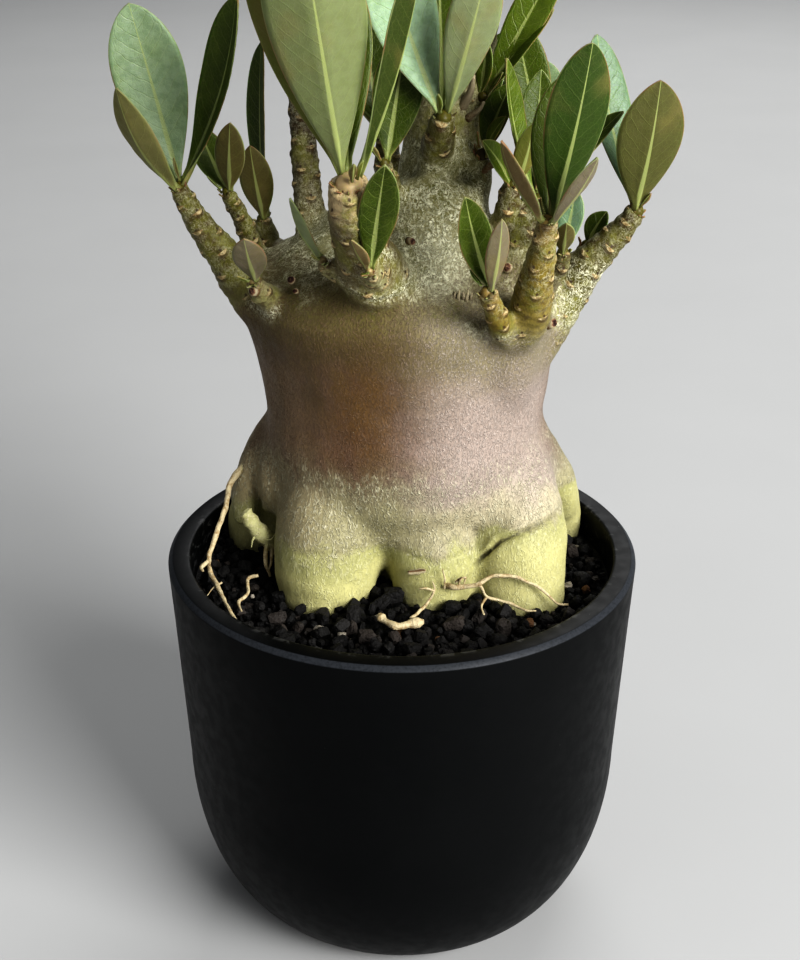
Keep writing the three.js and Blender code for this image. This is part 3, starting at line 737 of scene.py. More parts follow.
caudex = {
    "profile": [(84, 10), (94, 16), (103, 22), (111, 28.4), (119, 33.4), (128, 35), (139, 34.9), (148, 35.9),
                (156, 37.4), (163, 39.6), (168, 40.6), (172.5, 38.6), (177, 33.6), (181, 26.6), (185.5, 19.6),
                (191, 14)],
    "centre": (0.6, 8), "depth": 0.86,
    "toes": [
        ([(-11, 2, 131), (-17, -5.5, 114), (-18.4, -9, 105), (-19.6, -10.8, 97.5), (-20.3, -12, 92),
          (-22, -15, 70)],
         [13, 14.5, 14.2, 13.1, 10.8, 4.5]),
        ([(6, 4, 130), (7.5, -6, 113), (8, -9.5, 104), (8, -10.5, 97), (8, -11, 91), (7, -14, 70)],
         [11, 12.4, 12.1, 11, 9.4, 4]),
        ([(23, 5, 131), (28, -4, 115), (29.6, -8.5, 106), (30.2, -10.8, 98), (31, -12, 92), (32, -14, 70)],
         [11, 12.5, 12.4, 11.7, 10.2, 4]),
        ([(-22, 14, 132), (-31, 17, 114), (-37, 20, 98), (-39, 22, 84), (-38, 23, 70)],
         [11, 11, 10, 7.4, 3.5]),
        ([(24, 14, 132), (34, 17, 116), (41.5, 20.5, 104), (43.3, 21.5, 97.5), (42, 22, 88), (39, 22, 74)],
         [11, 9.5, 7, 5.1, 4.5, 3]),
        ([(-8, 18, 128), (-13, 26, 112), (-15, 31, 98), (-16, 33, 84), (-16, 33, 68)],
         [13, 13, 11.5, 8, 3.5]),
        ([(12, 18, 128), (16, 26, 112), (18, 31, 98), (19, 33, 84), (18, 32, 68)], [13, 12.6, 11, 8, 3.5]),
    ],
    "webs": [  # skin between two toes over a notch, flares at the sides, the slope up to the trunk
        ([(-4, 0, 130), (-4.5, -8, 118), (-5, -11.2, 109)], [14, 11.5, 6.2]),
        ([(17, 0, 130), (18, -6.5, 121), (18.5, -9.5, 113)], [14, 11.5, 5.5]),
        ([(-25, 8, 130), (-29, 4, 119), (-31, 3, 110)], [10, 8, 5]),
        ([(29, 8, 130), (33, 5, 119), (35, 5, 111)], [9, 7, 4.5]),
        ([(-24, 13, 135), (-34.5, 12, 123), (-40, 9.5, 113), (-41, 9, 104)], [8, 6.2, 4.6, 3.5]),
        ([(25, 9, 134), (36, 10.5, 121.5), (41.3, 14, 111), (43, 17, 103)], [8, 6.2, 5.2, 4.4]),
        ([(6, -4, 166), (7.5, -3, 182), (9, 1, 197)], [19, 15, 10.5]),
        ([(-4, -5, 158), (-5, -11.5, 171), (-6, -13, 179)], [16, 14, 11]),
        ([(19, -2, 143), (21.5, -6.3, 154), (23.2, -9.5, 164), (26.5, -12.5, 173)], [11.5, 11.8, 11.7, 10.3]),
    ],
    "scarPitch": 1.4, "ringPitch": 2.3, "buried": 91.5, "buriedShare": 0.1,
    "folds": [  # creases seen from the front: places (x, z), depth of the crease, lip above it, how scaly
        ([(-26, 109.5), (-22.7, 110.3), (-15, 110.4), (-7.8, 111.9)], 0.30, 0.12, 0.0),
        ([(0.7, 108.6), (9, 107.8), (17.9, 109.2)], 0.34, 0.14, 0.0),
        ([(1.5, 106.2), (9, 105.6), (16.5, 106.4)], 0.16, 0.05, 0.0),
        ([(18.4, 105.0), (22, 110.2), (27.0, 114.0), (33, 116.4), (40, 116.6)], 1.5, 0.5, 0.0),
        ([(-15.5, 184.0), (-13, 180.4), (-6.7, 177.4), (0, 178.4), (4.4, 182.0)], 0.5, 0.5, 1.0),
        ([(-8, 190.5), (0, 187.5), (8, 187.0), (16, 190)], 0.25, 0.25, 0.9),
        ([(-37, 170), (-31.5, 168.5), (-27, 171.5)], 0.25, 0.3, 0.7),
        ([(12.5, 171), (18, 167.5), (26, 168)], 0.25, 0.3, 0.6),
        ([(36, 166), (41, 163.5), (46, 165)], 0.2, 0.2, 0.6),
    ],
    "voxel": 0.77,
    "barks": {  # the colour of a limb's own bark
        "yellowGreen": (0.105, 0.095, 0.012), "olive": (0.090, 0.080, 0.014), "brown": (0.050, 0.036, 0.012),
        "pinkTop": (0.115, 0.088, 0.030), "crown": (0.250, 0.232, 0.105),
        "yellowBrown": (0.200, 0.150, 0.024),
    },
    "newBarks": {  # the bark just under the tip, where it differs
        "pinkTop": (0.40, 0.305, 0.165), "yellowBrown": (0.20, 0.142, 0.045), "crown": (0.19, 0.145, 0.065),
    },
}


def bodyDistance(points):
    # how far points stand outside the turned body, about, in millimetres
    heights, radii = zip(*caudex["profile"])
    x, y, z = (points / mm).T
    reach = np.hypot(x - caudex["centre"][0], (y - caudex["centre"][1]) / caudex["depth"])
    off = reach - np.interp(z, heights, radii)
    return np.where(z > heights[-1], np.hypot(np.maximum(reach - radii[-1], 0), z - heights[-1]), off)


def limbPlaces(points, line, radii, steps=48):
    # for each point: its distance outside the limb, the share and length along it, its direction round it
    centres, acrosses, others, aheads = [np.array(rows) for rows in zip(*lineFrames(line, steps))]
    spread = np.array([along(radii, i / steps) for i in range(steps + 1)])
    lengths = np.concatenate([[0], np.cumsum(np.linalg.norm(np.diff(centres, axis=0), axis=1))]) / mm
    gap = np.empty((len(points), steps + 1), np.float32)
    for i, centre in enumerate(centres):
        gap[:, i] = np.linalg.norm(points - centre, axis=1) / mm - spread[i]
    best = gap.argmin(axis=1)
    offset = (points - centres[best]) / mm
    past, u, v = [np.einsum("ij,ij->i", offset, ways[best]) for ways in (aheads, acrosses, others)]
    length = lengths[best] + past
    return gap[np.arange(len(points)), best], length / lengths[-1], length, u, v


def roughBody():
    outline = [(0, caudex["profile"][0][0])] + [(r, h) for h, r in caudex["profile"]]
    outline += [(0, caudex["profile"][-1][0] + 1)]
    bm = spun(outline, 72)
    bmesh.ops.scale(bm, vec=(1, caudex["depth"], 1), verts=bm.verts)
    bmesh.ops.translate(bm, vec=Vector((*caudex["centre"], 0)) * mm, verts=bm.verts)
    for line, radii in caudex["toes"] + caudex["webs"]:
        addLimb(bm, line, radii, 28, 24)
    for shoot in shoots.values():
        addLimb(bm, shoot["line"], shoot["radii"], 20, 8 * len(shoot["line"]))
    bmesh.ops.recalc_face_normals(bm, faces=bm.faces)
    rough = objectOf("rough_caudex", bm)
    fused = rough.modifiers.new("fused", "REMESH")
    fused.mode = "VOXEL"
    fused.voxel_size = caudex["voxel"] * mm
    return evaluatedMesh(rough)


def smoothed(points, edges, count, weights):
    # each point drawn to the middle of its neighbours, by its weight
    degree = np.bincount(edges.ravel(), minlength=len(points)).astype(float)
    for _ in range(count):
        middle = np.empty_like(points)
        for axis in range(3):
            total = np.bincount(edges[:, 0], points[edges[:, 1], axis], len(points))
            total += np.bincount(edges[:, 1], points[edges[:, 0], axis], len(points))
            middle[:, axis] = total / degree
        points = points + (middle - points) * weights[:, None]
    return points


def noiseField(points, scale, seed):
    # smooth noise from -1 to 1 at each point; scale is the size of a bump along each axis, in millimetres
    places = points / mm / np.array(scale) + seed * 17.3
    return np.array([noise.noise(Vector(p)) for p in places])


def foldsAt(points, normals):
    # the creases with the lip that stands over each, and where the skin is scaly
    x, y, z = points.T / mm
    front = smoothStep(0.0, 0.35, -normals[:, 1])
    lift = np.zeros(len(points))
    scaly = np.zeros(len(points))
    wander = noiseField(points, (5, 5, 5), 9) * 0.7
    for places, depth, lip, scale in caudex["folds"]:
        across, heights = zip(*places)
        off = z - np.interp(x, across, heights) - wander
        ends = smoothStep(across[0] - 1.5, across[0] + 3, x) * smoothStep(across[-1] + 1.5, across[-1] - 3, x)
        ends = ends * front
        fade = 1.15 - 0.6 * smoothStep(across[0], across[-1], x)
        lift += ends * fade * (lip * np.exp(-((off - 1.3) / 1.0) ** 2) - depth * np.exp(-(off / 0.8) ** 2))
        scaly = np.maximum(scaly, ends * scale * np.exp(-((off - 0.6) / 1.7) ** 2))
    return lift, scaly


def newBark(shoot):
    return caudex["newBarks"].get(shoot["bark"], caudex["barks"][shoot["bark"]])


def drawnOut(values, edges, count, weights):
    # a single value of each point, smoothed over the mesh
    return smoothed(np.repeat(values[:, None], 3, axis=1), edges, count, weights)[:, 0]


def movePoints(mesh, points):
    mesh.vertices.foreach_set("co", points.astype(np.float32).ravel())
    mesh.update()


def scarPlaces(length, turn, radius, owner):
    # where each point lies beside the nearest leaf scar, round the limb and along it, and how near it is
    best = np.full(len(length), 99.0)
    offsets = np.zeros((len(length), 2))
    row = np.round(length / caudex["scarPitch"])
    for step in range(-3, 4):
        number = row + step
        beyond = length - (number + 0.35 * np.sin(number * 5 + owner)) * caudex["scarPitch"]
        around = (turn - number * math.radians(137.5) - owner * 1.7 + math.pi) % math.tau - math.pi
        around = around * radius
        far = np.hypot(beyond * 1.25, around)
        closer = far < best
        best[closer] = far[closer]
        offsets[closer] = np.stack([around, beyond], axis=1)[closer]
    return offsets, smoothStep(2.3, 1.6, best)


def makeCaudex():
    mesh = roughBody()
    points = readPoints(mesh)
    edges = np.empty(len(mesh.edges) * 2, np.int32)
    mesh.edges.foreach_get("vertices", edges)
    edges = edges.reshape(-1, 2)
    whole = np.ones(len(points))
    for _ in range(5):  # takes the voxels' steps out and keeps the size
        points = smoothed(points, edges, 1, whole * 0.55)
        points = smoothed(points, edges, 1, whole * -0.57)
    # how near each point is to a second form: there the forms flow into each other
    lumps = caudex["toes"] + caudex["webs"]
    gaps = [bodyDistance(points)] + [limbPlaces(points, line, radii)[0] for line, radii in lumps]
    limbs = [limbPlaces(points, shoot["line"], shoot["radii"]) for shoot in shoots.values()]
    limbGaps = np.array([limb[0] for limb in limbs])
    nearest = np.sort(np.array(gaps + [limb[0] for limb in limbs]), axis=0)
    crotch = smoothStep(5.5, 0.5, nearest[1])
    slim = smoothStep(0.4, 2.0, gaps[0]) * smoothStep(2, 8, points[:, 2] / mm - 150)
    points = smoothed(points, edges, 26, 0.6 * crotch * (1 - 0.55 * slim))
    movePoints(mesh, points)

    owner = limbGaps.argmin(axis=0)
    pick = np.arange(len(points))
    limbGap = limbGaps[owner, pick]
    share, length, u, v = [np.array([limb[k] for limb in limbs])[owner, pick] for k in range(1, 5)]
    height = points[:, 2] / mm
    limbMask = smoothStep(0.6, 3.2, np.array(gaps).min(axis=0)) * smoothStep(150, 158, height)
    normals = readPoints(mesh, normals=True)

    wrinkleZone = smoothStep(100, 110, height) * smoothStep(134, 122, height)
    bulk = 1 - limbMask
    lift = bulk * 0.55 * noiseField(points, (16, 16, 14), 1)
    lift += bulk * 0.22 * noiseField(points, (6, 6, 7), 2)
    lift += wrinkleZone * 0.16 * noiseField(points, (1.9, 1.9, 6.5), 3)
    lift += (1 - wrinkleZone) * bulk * 0.05 * noiseField(points, (1.7, 1.7, 5), 4)
    lift += limbMask * 0.2 * noiseField(points, (2.4, 2.4, 2.0), 5)
    # rings left by old leaves, a little uneven round each limb, and the cushions under the leaf scars
    wander = noiseField(points, (5, 5, 5), 6) * 1.1
    young = limbMask * smoothStep(0.12, 0.4, share)
    lift += young * 0.10 * np.sin((length + wander) / caudex["ringPitch"] * math.tau)
    scars, scarNear = scarPlaces(length, np.arctan2(v, u), np.hypot(u, v) + 1e-6, owner)
    cushion = np.exp(-(scars[:, 0] / 1.2) ** 2) * smoothStep(-2.4, -0.1, scars[:, 1])
    onSkin = smoothStep(1.6, 0.8, limbGap)
    lift += young * 0.38 * cushion * smoothStep(0.95, 0.2, scars[:, 1]) * onSkin
    foldLift, scaly = foldsAt(points, normals)
    lift += foldLift
    points += normals * (lift * mm)[:, None]
    movePoints(mesh, points)

    settled = smoothed(points, edges, 14, whole * 0.5)
    hollow = np.einsum("ij,ij->i", settled - points, normals) / mm
    tints = np.array([caudex["barks"][shoot["bark"]] + (1,) for shoot in shoots.values()])
    news = np.array([newBark(shoot) + (1,) for shoot in shoots.values()])
    tint = tints[owner] + (news - tints)[owner] * smoothStep(0.80, 0.97, share)[:, None]
    for k in range(3):
        tint[:, k] = drawnOut(tint[:, k], edges, 4, whole * 0.6)
    scarNear *= smoothStep(0.08, 0.35, share) * smoothStep(0.3, 0.9, limbMask) * onSkin
    pointValues(mesh, "limb", limbMask)
    pointValues(mesh, "scaly", scaly)
    pointValues(mesh, "limbShare", np.clip(share, 0, 1))
    pointValues(mesh, "hollow", drawnOut(hollow, edges, 3, whole * 0.5))
    pointValues(mesh, "scarPlace", np.column_stack([scars, scarNear]), "FLOAT_VECTOR")
    pointValues(mesh, "limbColour", tint, "FLOAT_COLOR")
    mesh.polygons.foreach_set("use_smooth", [True] * len(mesh.polygons))
    piece = placed("swollen_stem", thinnedBelow(placed("dense_caudex", mesh)))
    finishPiece(piece, makeBarkMaterial(), "bark", "caudex")
    piece.data.calc_loop_triangles()
    print("caudex:", len(piece.data.loop_triangles), "triangles")
    return piece


def thinnedBelow(dense):
    # fewer faces on what the soil hides
    mesh = dense.data
    below = [vert.index for vert in mesh.vertices if vert.co.z < caudex["buried"] * mm]
    dense.vertex_groups.new(name="buried").add(below, 1.0, "REPLACE")
    thinned = dense.modifiers.new("thinned", "DECIMATE")
    thinned.ratio = 1 - len(below) / len(mesh.vertices) * (1 - caudex["buriedShare"])
    thinned.vertex_group = "buried"
    thinned.vertex_group_factor = 1000
    return evaluatedMesh(dense)


bark = {
    # colour of the skin by height: green toes, a grey wrinkled band, a mauve-brown waist, an olive crown
    "zones": [(92, (0.52, 0.49, 0.235)), (102, (0.49, 0.465, 0.215)), (109, (0.35, 0.34, 0.150)),
              (113, (0.285, 0.262, 0.148)), (127, (0.265, 0.238, 0.142)), (134, (0.145, 0.098, 0.052)),
              (140, (0.125, 0.072, 0.034)), (152, (0.112, 0.070, 0.029)), (164, (0.104, 0.074, 0.026)),
              (174, (0.130, 0.108, 0.036)), (184, (0.225, 0.210, 0.092))],
    "mauve": (0.125, 0.070, 0.048), "warm": (0.160, 0.084, 0.022), "dullToe": (0.30, 0.285, 0.13),
    # the flank colour is painted light on the left flank
    "litFlank": (0.290, 0.215, 0.125), "sheenFilmLow": (0.440, 0.390, 0.272), "film": (0.355, 0.290, 0.250),
    # the three film colours are partly a painted sheen
    "sheenFilmHigh": (0.245, 0.212, 0.130), "limbSpots": (0.060, 0.032, 0.009), "limbGreen": (0.165, 0.160, 0.026),
    # lit is partly a painted highlight, and the silver colour is a painted sheen
    "limbFeet": (0.210, 0.186, 0.080), "lit": (0.27, 0.27, 0.080), "paintedSheen": (0.33, 0.315, 0.205),
    "moss": (0.105, 0.105, 0.012), "waistShade": (0.225, 0.145, 0.082), "waistSun": (0.74, 0.64, 0.57),
    "bandStrokes": (0.53, 0.50, 0.36), "toeStrokes": (0.66, 0.65, 0.38), "crownStrokes": (0.86, 0.84, 0.62),
    "flecks": (0.55, 0.50, 0.38), "pits": (0.07, 0.035, 0.015), "scar": (0.52, 0.42, 0.23),
    "scarWorn": (0.27, 0.18, 0.075), "scarShade": (0.060, 0.032, 0.010), "eye": (0.040, 0.018, 0.008),
    # darker in hollows: partly dirt, partly painted shade
    "dirtAndShade": (0.030, 0.022, 0.008),
}


def makeBarkMaterial():
    material, shader, place = newMaterial("succulentBark", {"Specular IOR Level": 0.32})
    x, y, z = axesOf(place)
    limb = attributeOf(place, "limb")
    young = limb * remap(attributeOf(place, "limbShare"), 0.18, 0.62)
    blotch = noiseOf(upright(place, 0.8), 0.2, 4.0, 0.6)
    uneven = blotch - 0.5
    wander = (noiseOf(place, 0.07, 3.0, 0.55) - 0.5) * 16.0 + uneven * 7.0
    # the zones end at uneven heights, and the green reaches higher on the right toe, up to its crease
    height = z + wander - remap(x, 17.0, 23.0, 0.0, 7.0) * remap(z, 121.0, 112.0)

    def patch(size, offset, wildness, end, full):
        # a soft round patch: its size as a scale, its place as an offset
        return remap(lengthOf(scaled(place, *size, offset)) + uneven * wildness, end, full)

    low, high = bark["zones"][0][0], bark["zones"][-1][0]
    skin = colourRamp(remap(height, low, high, kind="LINEAR"),
                      [((level - low) / (high - low), colour) for level, colour in bark["zones"]])
    skin = mixed(remap(blotch, 0.42, 0.62, 0.0, 0.5) * window(height, 124.0, 132.0, 156.0, 168.0), skin,
                 bark["mauve"])
    # a warm patch in the middle of the waist; the right toe a little duller; painted light on the left flank,
    # which makes it lighter
    warm = patch((0.085, 0.02, 0.058), (0.70, 0.4, -8.55), 0.9, 1.15, 0.25)
    skin = mixed(warm * 0.45, skin, bark["warm"])
    skin = mixed(remap(x, 18.0, 34.0, 0.0, 0.3) * remap(height, 112.0, 106.0), skin, bark["dullToe"])
    litFlank = remap(x, -12.0, -32.0, 0.0, 0.45) * window(height, 106.0, 118.0, 150.0, 164.0)
    skin = mixed(litFlank, skin, bark["litFlank"])
    # the silvery film on the side that has the sun, pinkish low down and olive above: partly a pale film on
    # the skin, partly a painted sheen and painted light on the lit side
    sunny = remap(x + wander * 0.7, -12.0, 16.0) ** 1.5 * remap(y, 14.0, -6.0)
    sunny = sunny * window(height, 108.0, 118.0, 168.0, 182.0)
    film = mixed(remap(height, 146.0, 162.0), bark["film"], bark["sheenFilmHigh"])
    film = mixed(remap(height, 126.0, 118.0), film, bark["sheenFilmLow"])
    skin = mixed(sunny * 0.85, skin, film)

    # the young bark of the limbs, which turns into the crown's own skin at their feet
    spots = remap(noiseOf(place, 0.42, 4.0, 0.65), 0.49, 0.62)
    own = mixed(spots * 0.6, attributeOf(place, "limbColour", "Color"), bark["limbSpots"])
    own = mixed(remap(blotch, 0.47, 0.62, 0.0, 0.7), own, bark["limbGreen"])
    skin = mixed(limb, skin, bark["limbFeet"])
    # under the limbs on the right, yellow-green skin lightened with a painted highlight; on the foot of the
    # trunk, a silvery painted sheen
    lit = patch((0.085, 0.05, 0.09), (-3.65, 0.2, -15.5), 1.6, 1.1, 0.5)
    paintedSheen = patch((0.092, 0.04, 0.085), (-0.78, 0.2, -15.5), 1.6, 1.1, 0.5)
    skin = mixed(lit * 0.8, skin, bark["lit"])
    skin = mixed(paintedSheen * 0.8, skin, bark["paintedSheen"])
    skin = mixed(young, skin, own)
    moss = remap(noiseOf(place, 0.17, 3.0, 0.6), 0.50, 0.66)
    moss = moss * (remap(height, 168.0, 176.0) * remap(young, 1.0, 0.3))
    skin = mixed(moss * 0.6, skin, bark["moss"])

    # fine strokes in the skin: curly on the crown, drawn out upright on the waist and in the grey band
    small = strokesOn(upright(place, 0.7), 1.5, 0.09, 0.6) * 0.6
    curls = maths("MAXIMUM", strokesOn(place, 0.85, 0.092, 1.1), small)
    strokes = strokesOn(upright(place, 0.42), 1.25, 0.062, 0.45)
    fine = strokesOn(upright(place, 0.42), 3.0, 0.090, 0.3)
    crownZone = remap(height, 172.0, 182.0) * remap(noiseOf(place, 0.11, 3.0), 0.32, 0.50, 0.3, 1.0)
    crownZone = crownZone * remap(young, 0.0, 0.7, 1.0, 0.28)
    scaly = attributeOf(place, "scaly") * 1.2
    crownZone = maths("MAXIMUM", crownZone, maths("MAXIMUM", scaly, lit), clamp=True)
    onCrown = curls * crownZone
    onBand = strokes * (window(height, 104.0, 113.0, 126.5, 136.0) * 0.78)
    onToes = strokes * (remap(height, 112.0, 106.0) * 0.42)
    onWaist = fine * (window(height, 120.0, 130.0, 175.0, 184.0) * 0.7) * remap(young, 0.6, 0.1)
    tone = remap(noiseOf(upright(place, 0.4), 2.6, 3.0, 0.7), 0.32, 0.68, 0.80, 1.15)
    skin = mixed(remap(height, 103.0, 112.0, 0.35, 1.0), skin, tinted(skin, tone))
    skin = mixed(onWaist, skin, mixed(sunny, bark["waistShade"], bark["waistSun"]))
    skin = mixed(onBand, skin, bark["bandStrokes"])
    skin = mixed(onToes, skin, bark["toeStrokes"])
    skin = mixed(onCrown, skin, bark["crownStrokes"])
    skin = mixed(specksOn(place, 0.5, 0.085, 0.22) * 0.7, skin, bark["flecks"])
    skin = mixed(specksOn(place, 0.5, 0.10, 0.10) * 0.6, skin, bark["pits"])

    # leaf scars: cream crescents, each with a shade above it and a dark bud eye over it
    beside, beyond, near = axesOf(attributeOf(place, "scarPlace", "Vector"))
    side = abs(beside) ** 2.0
    bow = beyond - side * 0.13 + uneven * 0.7
    thick = maths("MAXIMUM", 0.56 - side * 0.22, 0.01)
    worn = remap(noiseOf(place, 0.9, 3.0, 0.6), 0.38, 0.52, 0.35, 1.0)
    scar = remap(abs(bow) / thick, 1.0, 0.65) * near * worn
    shade = remap(abs(bow + 0.75) / thick, 1.1, 0.5) * near
    eye = remap(side + abs(beyond - 0.85) ** 2.0, 0.16, 0.05) * near
    cream = mixed(remap(noiseOf(place, 1.4, 3.0), 0.42, 0.62), bark["scar"], bark["scarWorn"])
    skin = mixed(shade * 0.6, skin, bark["scarShade"])
    skin = mixed(scar * 0.9, skin, cream)
    skin = mixed(eye * 0.85, skin, bark["eye"])
    # darker in the hollows and crotches: partly dirt, partly painted shade
    dirtAndShade = remap(attributeOf(place, "hollow"), 0.06, 0.45, 0.0, 0.8) * remap(height, 150.0, 165.0, 1.0, 0.5)
    skin = mixed(dirtAndShade, skin, bark["dirtAndShade"])

    pale = maths("MAXIMUM", maths("MAXIMUM", onCrown, onBand), maths("MAXIMUM", onToes, onWaist))
    relief, gloss = grainOn(upright(place, 0.5), 3.0, 0.42, 0.60)
    relief = relief * 0.5 + pale + scar * 1.1 + fine * 0.22
    dress(shader, skin, gloss + pale * 0.12, relief, 0.00026)
    return material


stem = makeCaudex()


# Thin roots that lie on the grit and over the toes, with their rootlets

thinRoots = {
    "rootSides": 14, "rootletSides": 9,
    "skin": (0.50, 0.42, 0.26), "mottle": (0.29, 0.20, 0.095), "green": (0.36, 0.37, 0.165),
    "strokes": (0.62, 0.55, 0.38), "specks": (0.13, 0.06, 0.03),
    "roots": [
        ([(-40, 9, 121), (-43.8, 6.0, 117.4), (-45.2, -0.5, 112.6), (-47.2, -6, 107.7), (-48.7, -10.5, 103.4),
          (-48.9, -9, 98.7), (-47.2, -13, 98), (-45.6, -16.8, 97.6), (-42.9, -24, 97), (-40.7, -29.2, 96.4)],
         [1.0, 0.85, 0.7, 0.62, 0.6, 0.75, 0.6, 0.5, 0.4]),
        ([(-27, -1, 101), (-31.3, -4, 103.5), (-35.5, -6.5, 108.2), (-37.6, -6.5, 111.1), (-39.2, -6, 113.6),
          (-39.9, -5.8, 114.6)],
         [1.2, 2.0, 2.6, 2.1, 2.5, 1.8, 2.2, 1.6, 2.0, 0.9]),
        ([(-5.6, -29.9, 98.4), (-4.1, -31.8, 97.7), (-1.0, -33.9, 97.5), (2.4, -32.6, 97.5),
          (5.3, -32.5, 98)],
         [0.5, 1.3, 0.95, 0.85, 1.15, 0.9, 0.85, 1.3, 1.2, 0.5]),
        ([(11, -21.0, 101.6), (12.5, -22.8, 102), (15.7, -23.3, 102.5), (19.1, -23.6, 103.5),
          (21.8, -22.8, 104.9),
          (25.2, -23, 105.4), (28.7, -23.1, 104.7), (31.4, -23.1, 103.3), (34.2, -23.1, 101.6),
          (36.8, -22.8, 98.8), (38.6, -22.8, 97.3), (41.2, -21.5, 96.4)], [0.9, 0.6, 0.45, 0.38, 0.32, 0.26]),
    ],
    "rootlets": [
        ([(-45.5, -13, 98), (-47.5, -15, 97.4), (-48.6, -18, 96.8)], [0.3, 0.2, 0.12]),
        ([(-49, -11, 103), (-50.6, -12, 101.6), (-50.3, -11, 100)], [0.5, 0.6, 0.3]),
        ([(-34, -7, 106.8), (-34.5, -8, 103.6), (-34.6, -8.5, 100.1), (-33.6, -9, 97.2)],
         [0.7, 0.6, 0.55, 0.3]),
        ([(-33.2, -6.5, 105.5), (-33.2, -8.5, 101.5), (-33.9, -9.5, 99.5)], [0.6, 0.4, 0.2]),
        ([(-32.5, -6.5, 104.8), (-31.7, -8, 104.2), (-30.1, -9, 103)], [0.5, 0.4, 0.2]),
        ([(-36, -7.5, 109.5), (-37.5, -8.8, 108), (-38, -9.2, 106)], [0.4, 0.3, 0.15]),
        ([(-35, -8, 107.5), (-33, -9.2, 108.2), (-31.8, -9, 109.5)], [0.35, 0.25, 0.12]),
        ([(-36.4, -12.1, 99.5), (-38.6, -12.8, 99), (-38.5, -18.5, 97.8), (-40.4, -21.4, 97.2),
          (-39.6, -25.7, 96.8)],
         [0.4, 0.55, 0.45, 0.4, 0.5, 0.2]),
        ([(2.1, -31.2, 97.9), (4.4, -28, 98.4), (6.4, -24, 98.6), (7.9, -22.9, 101.5), (7.5, -22.6, 103.5)],
         [0.5, 0.42, 0.38, 0.25, 0.15]),
        ([(19.1, -23.5, 103), (20.7, -22.9, 99.6), (22.9, -23.4, 98.9), (25.4, -23.6, 98.3),
          (28.3, -24.8, 97.7),
          (30.7, -26, 97.3), (32.9, -26, 97.2)], [0.4, 0.42, 0.4, 0.36, 0.3, 0.22]),
        ([(20.7, -22.9, 99.4), (19.6, -25.3, 98.4), (20, -28.1, 97.2)], [0.38, 0.32, 0.22]),
        ([(10.4, -22.3, 101.5), (10.4, -22.9, 104), (10.0, -22.9, 107.2)], [0.3, 0.24, 0.14]),
        ([(14, -22.4, 102.5), (14.4, -23.1, 104.2), (15.5, -22.9, 104.6), (15.3, -22.8, 102.9)],
         [0.3, 0.28, 0.25, 0.15]),
        ([(8, -23, 101), (6, -23.3, 101.9), (4.2, -23.2, 101.6)], [0.3, 0.28, 0.15]),
    ],
}


def makeThinRoots():
    bm = bmesh.new()
    for line, radii in thinRoots["roots"]:
        addLimb(bm, line, radii, thinRoots["rootSides"], 80, 0.3)
    for line, radii in thinRoots["rootlets"]:
        addLimb(bm, line, radii, thinRoots["rootletSides"], 34, 0.28)
    bmesh.ops.recalc_face_normals(bm, faces=bm.faces)
    piece = finishPiece(objectOf("thin_roots", bm), makeRootMaterial(), "bark")
    print("thin roots:", len(thinRoots["roots"]) + len(thinRoots["rootlets"]))
    return piece


def makeRootMaterial():
    material, shader, place = newMaterial("creamRoot", {"Specular IOR Level": 0.35})
    x, _, z = axesOf(place)
    skin = mixed(remap(noiseOf(place, 0.55, 4.0, 0.62), 0.45, 0.66), thinRoots["skin"], thinRoots["mottle"])
    # the stubby root at the left has a greener skin
    green = remap(z, 103.5, 106.5) * window(x, -42.0, -40.5, -20.0, -10.0)
    skin = mixed(green * 0.75, skin, thinRoots["green"])
    strokes = strokesOn(place, 1.3, 0.08, 0.6)
    skin = mixed(strokes * 0.5, skin, thinRoots["strokes"])
    skin = mixed(specksOn(place, 0.7, 0.16, 0.2) * 0.7, skin, thinRoots["specks"])
    relief, gloss = grainOn(place, 2.4, 0.55, 0.75)
    dress(shader, skin, gloss, relief + strokes * 0.5, 0.0002)
    return material


looseRoots = makeThinRoots()


# Old bud scars, stubs of dead twigs and torn skin

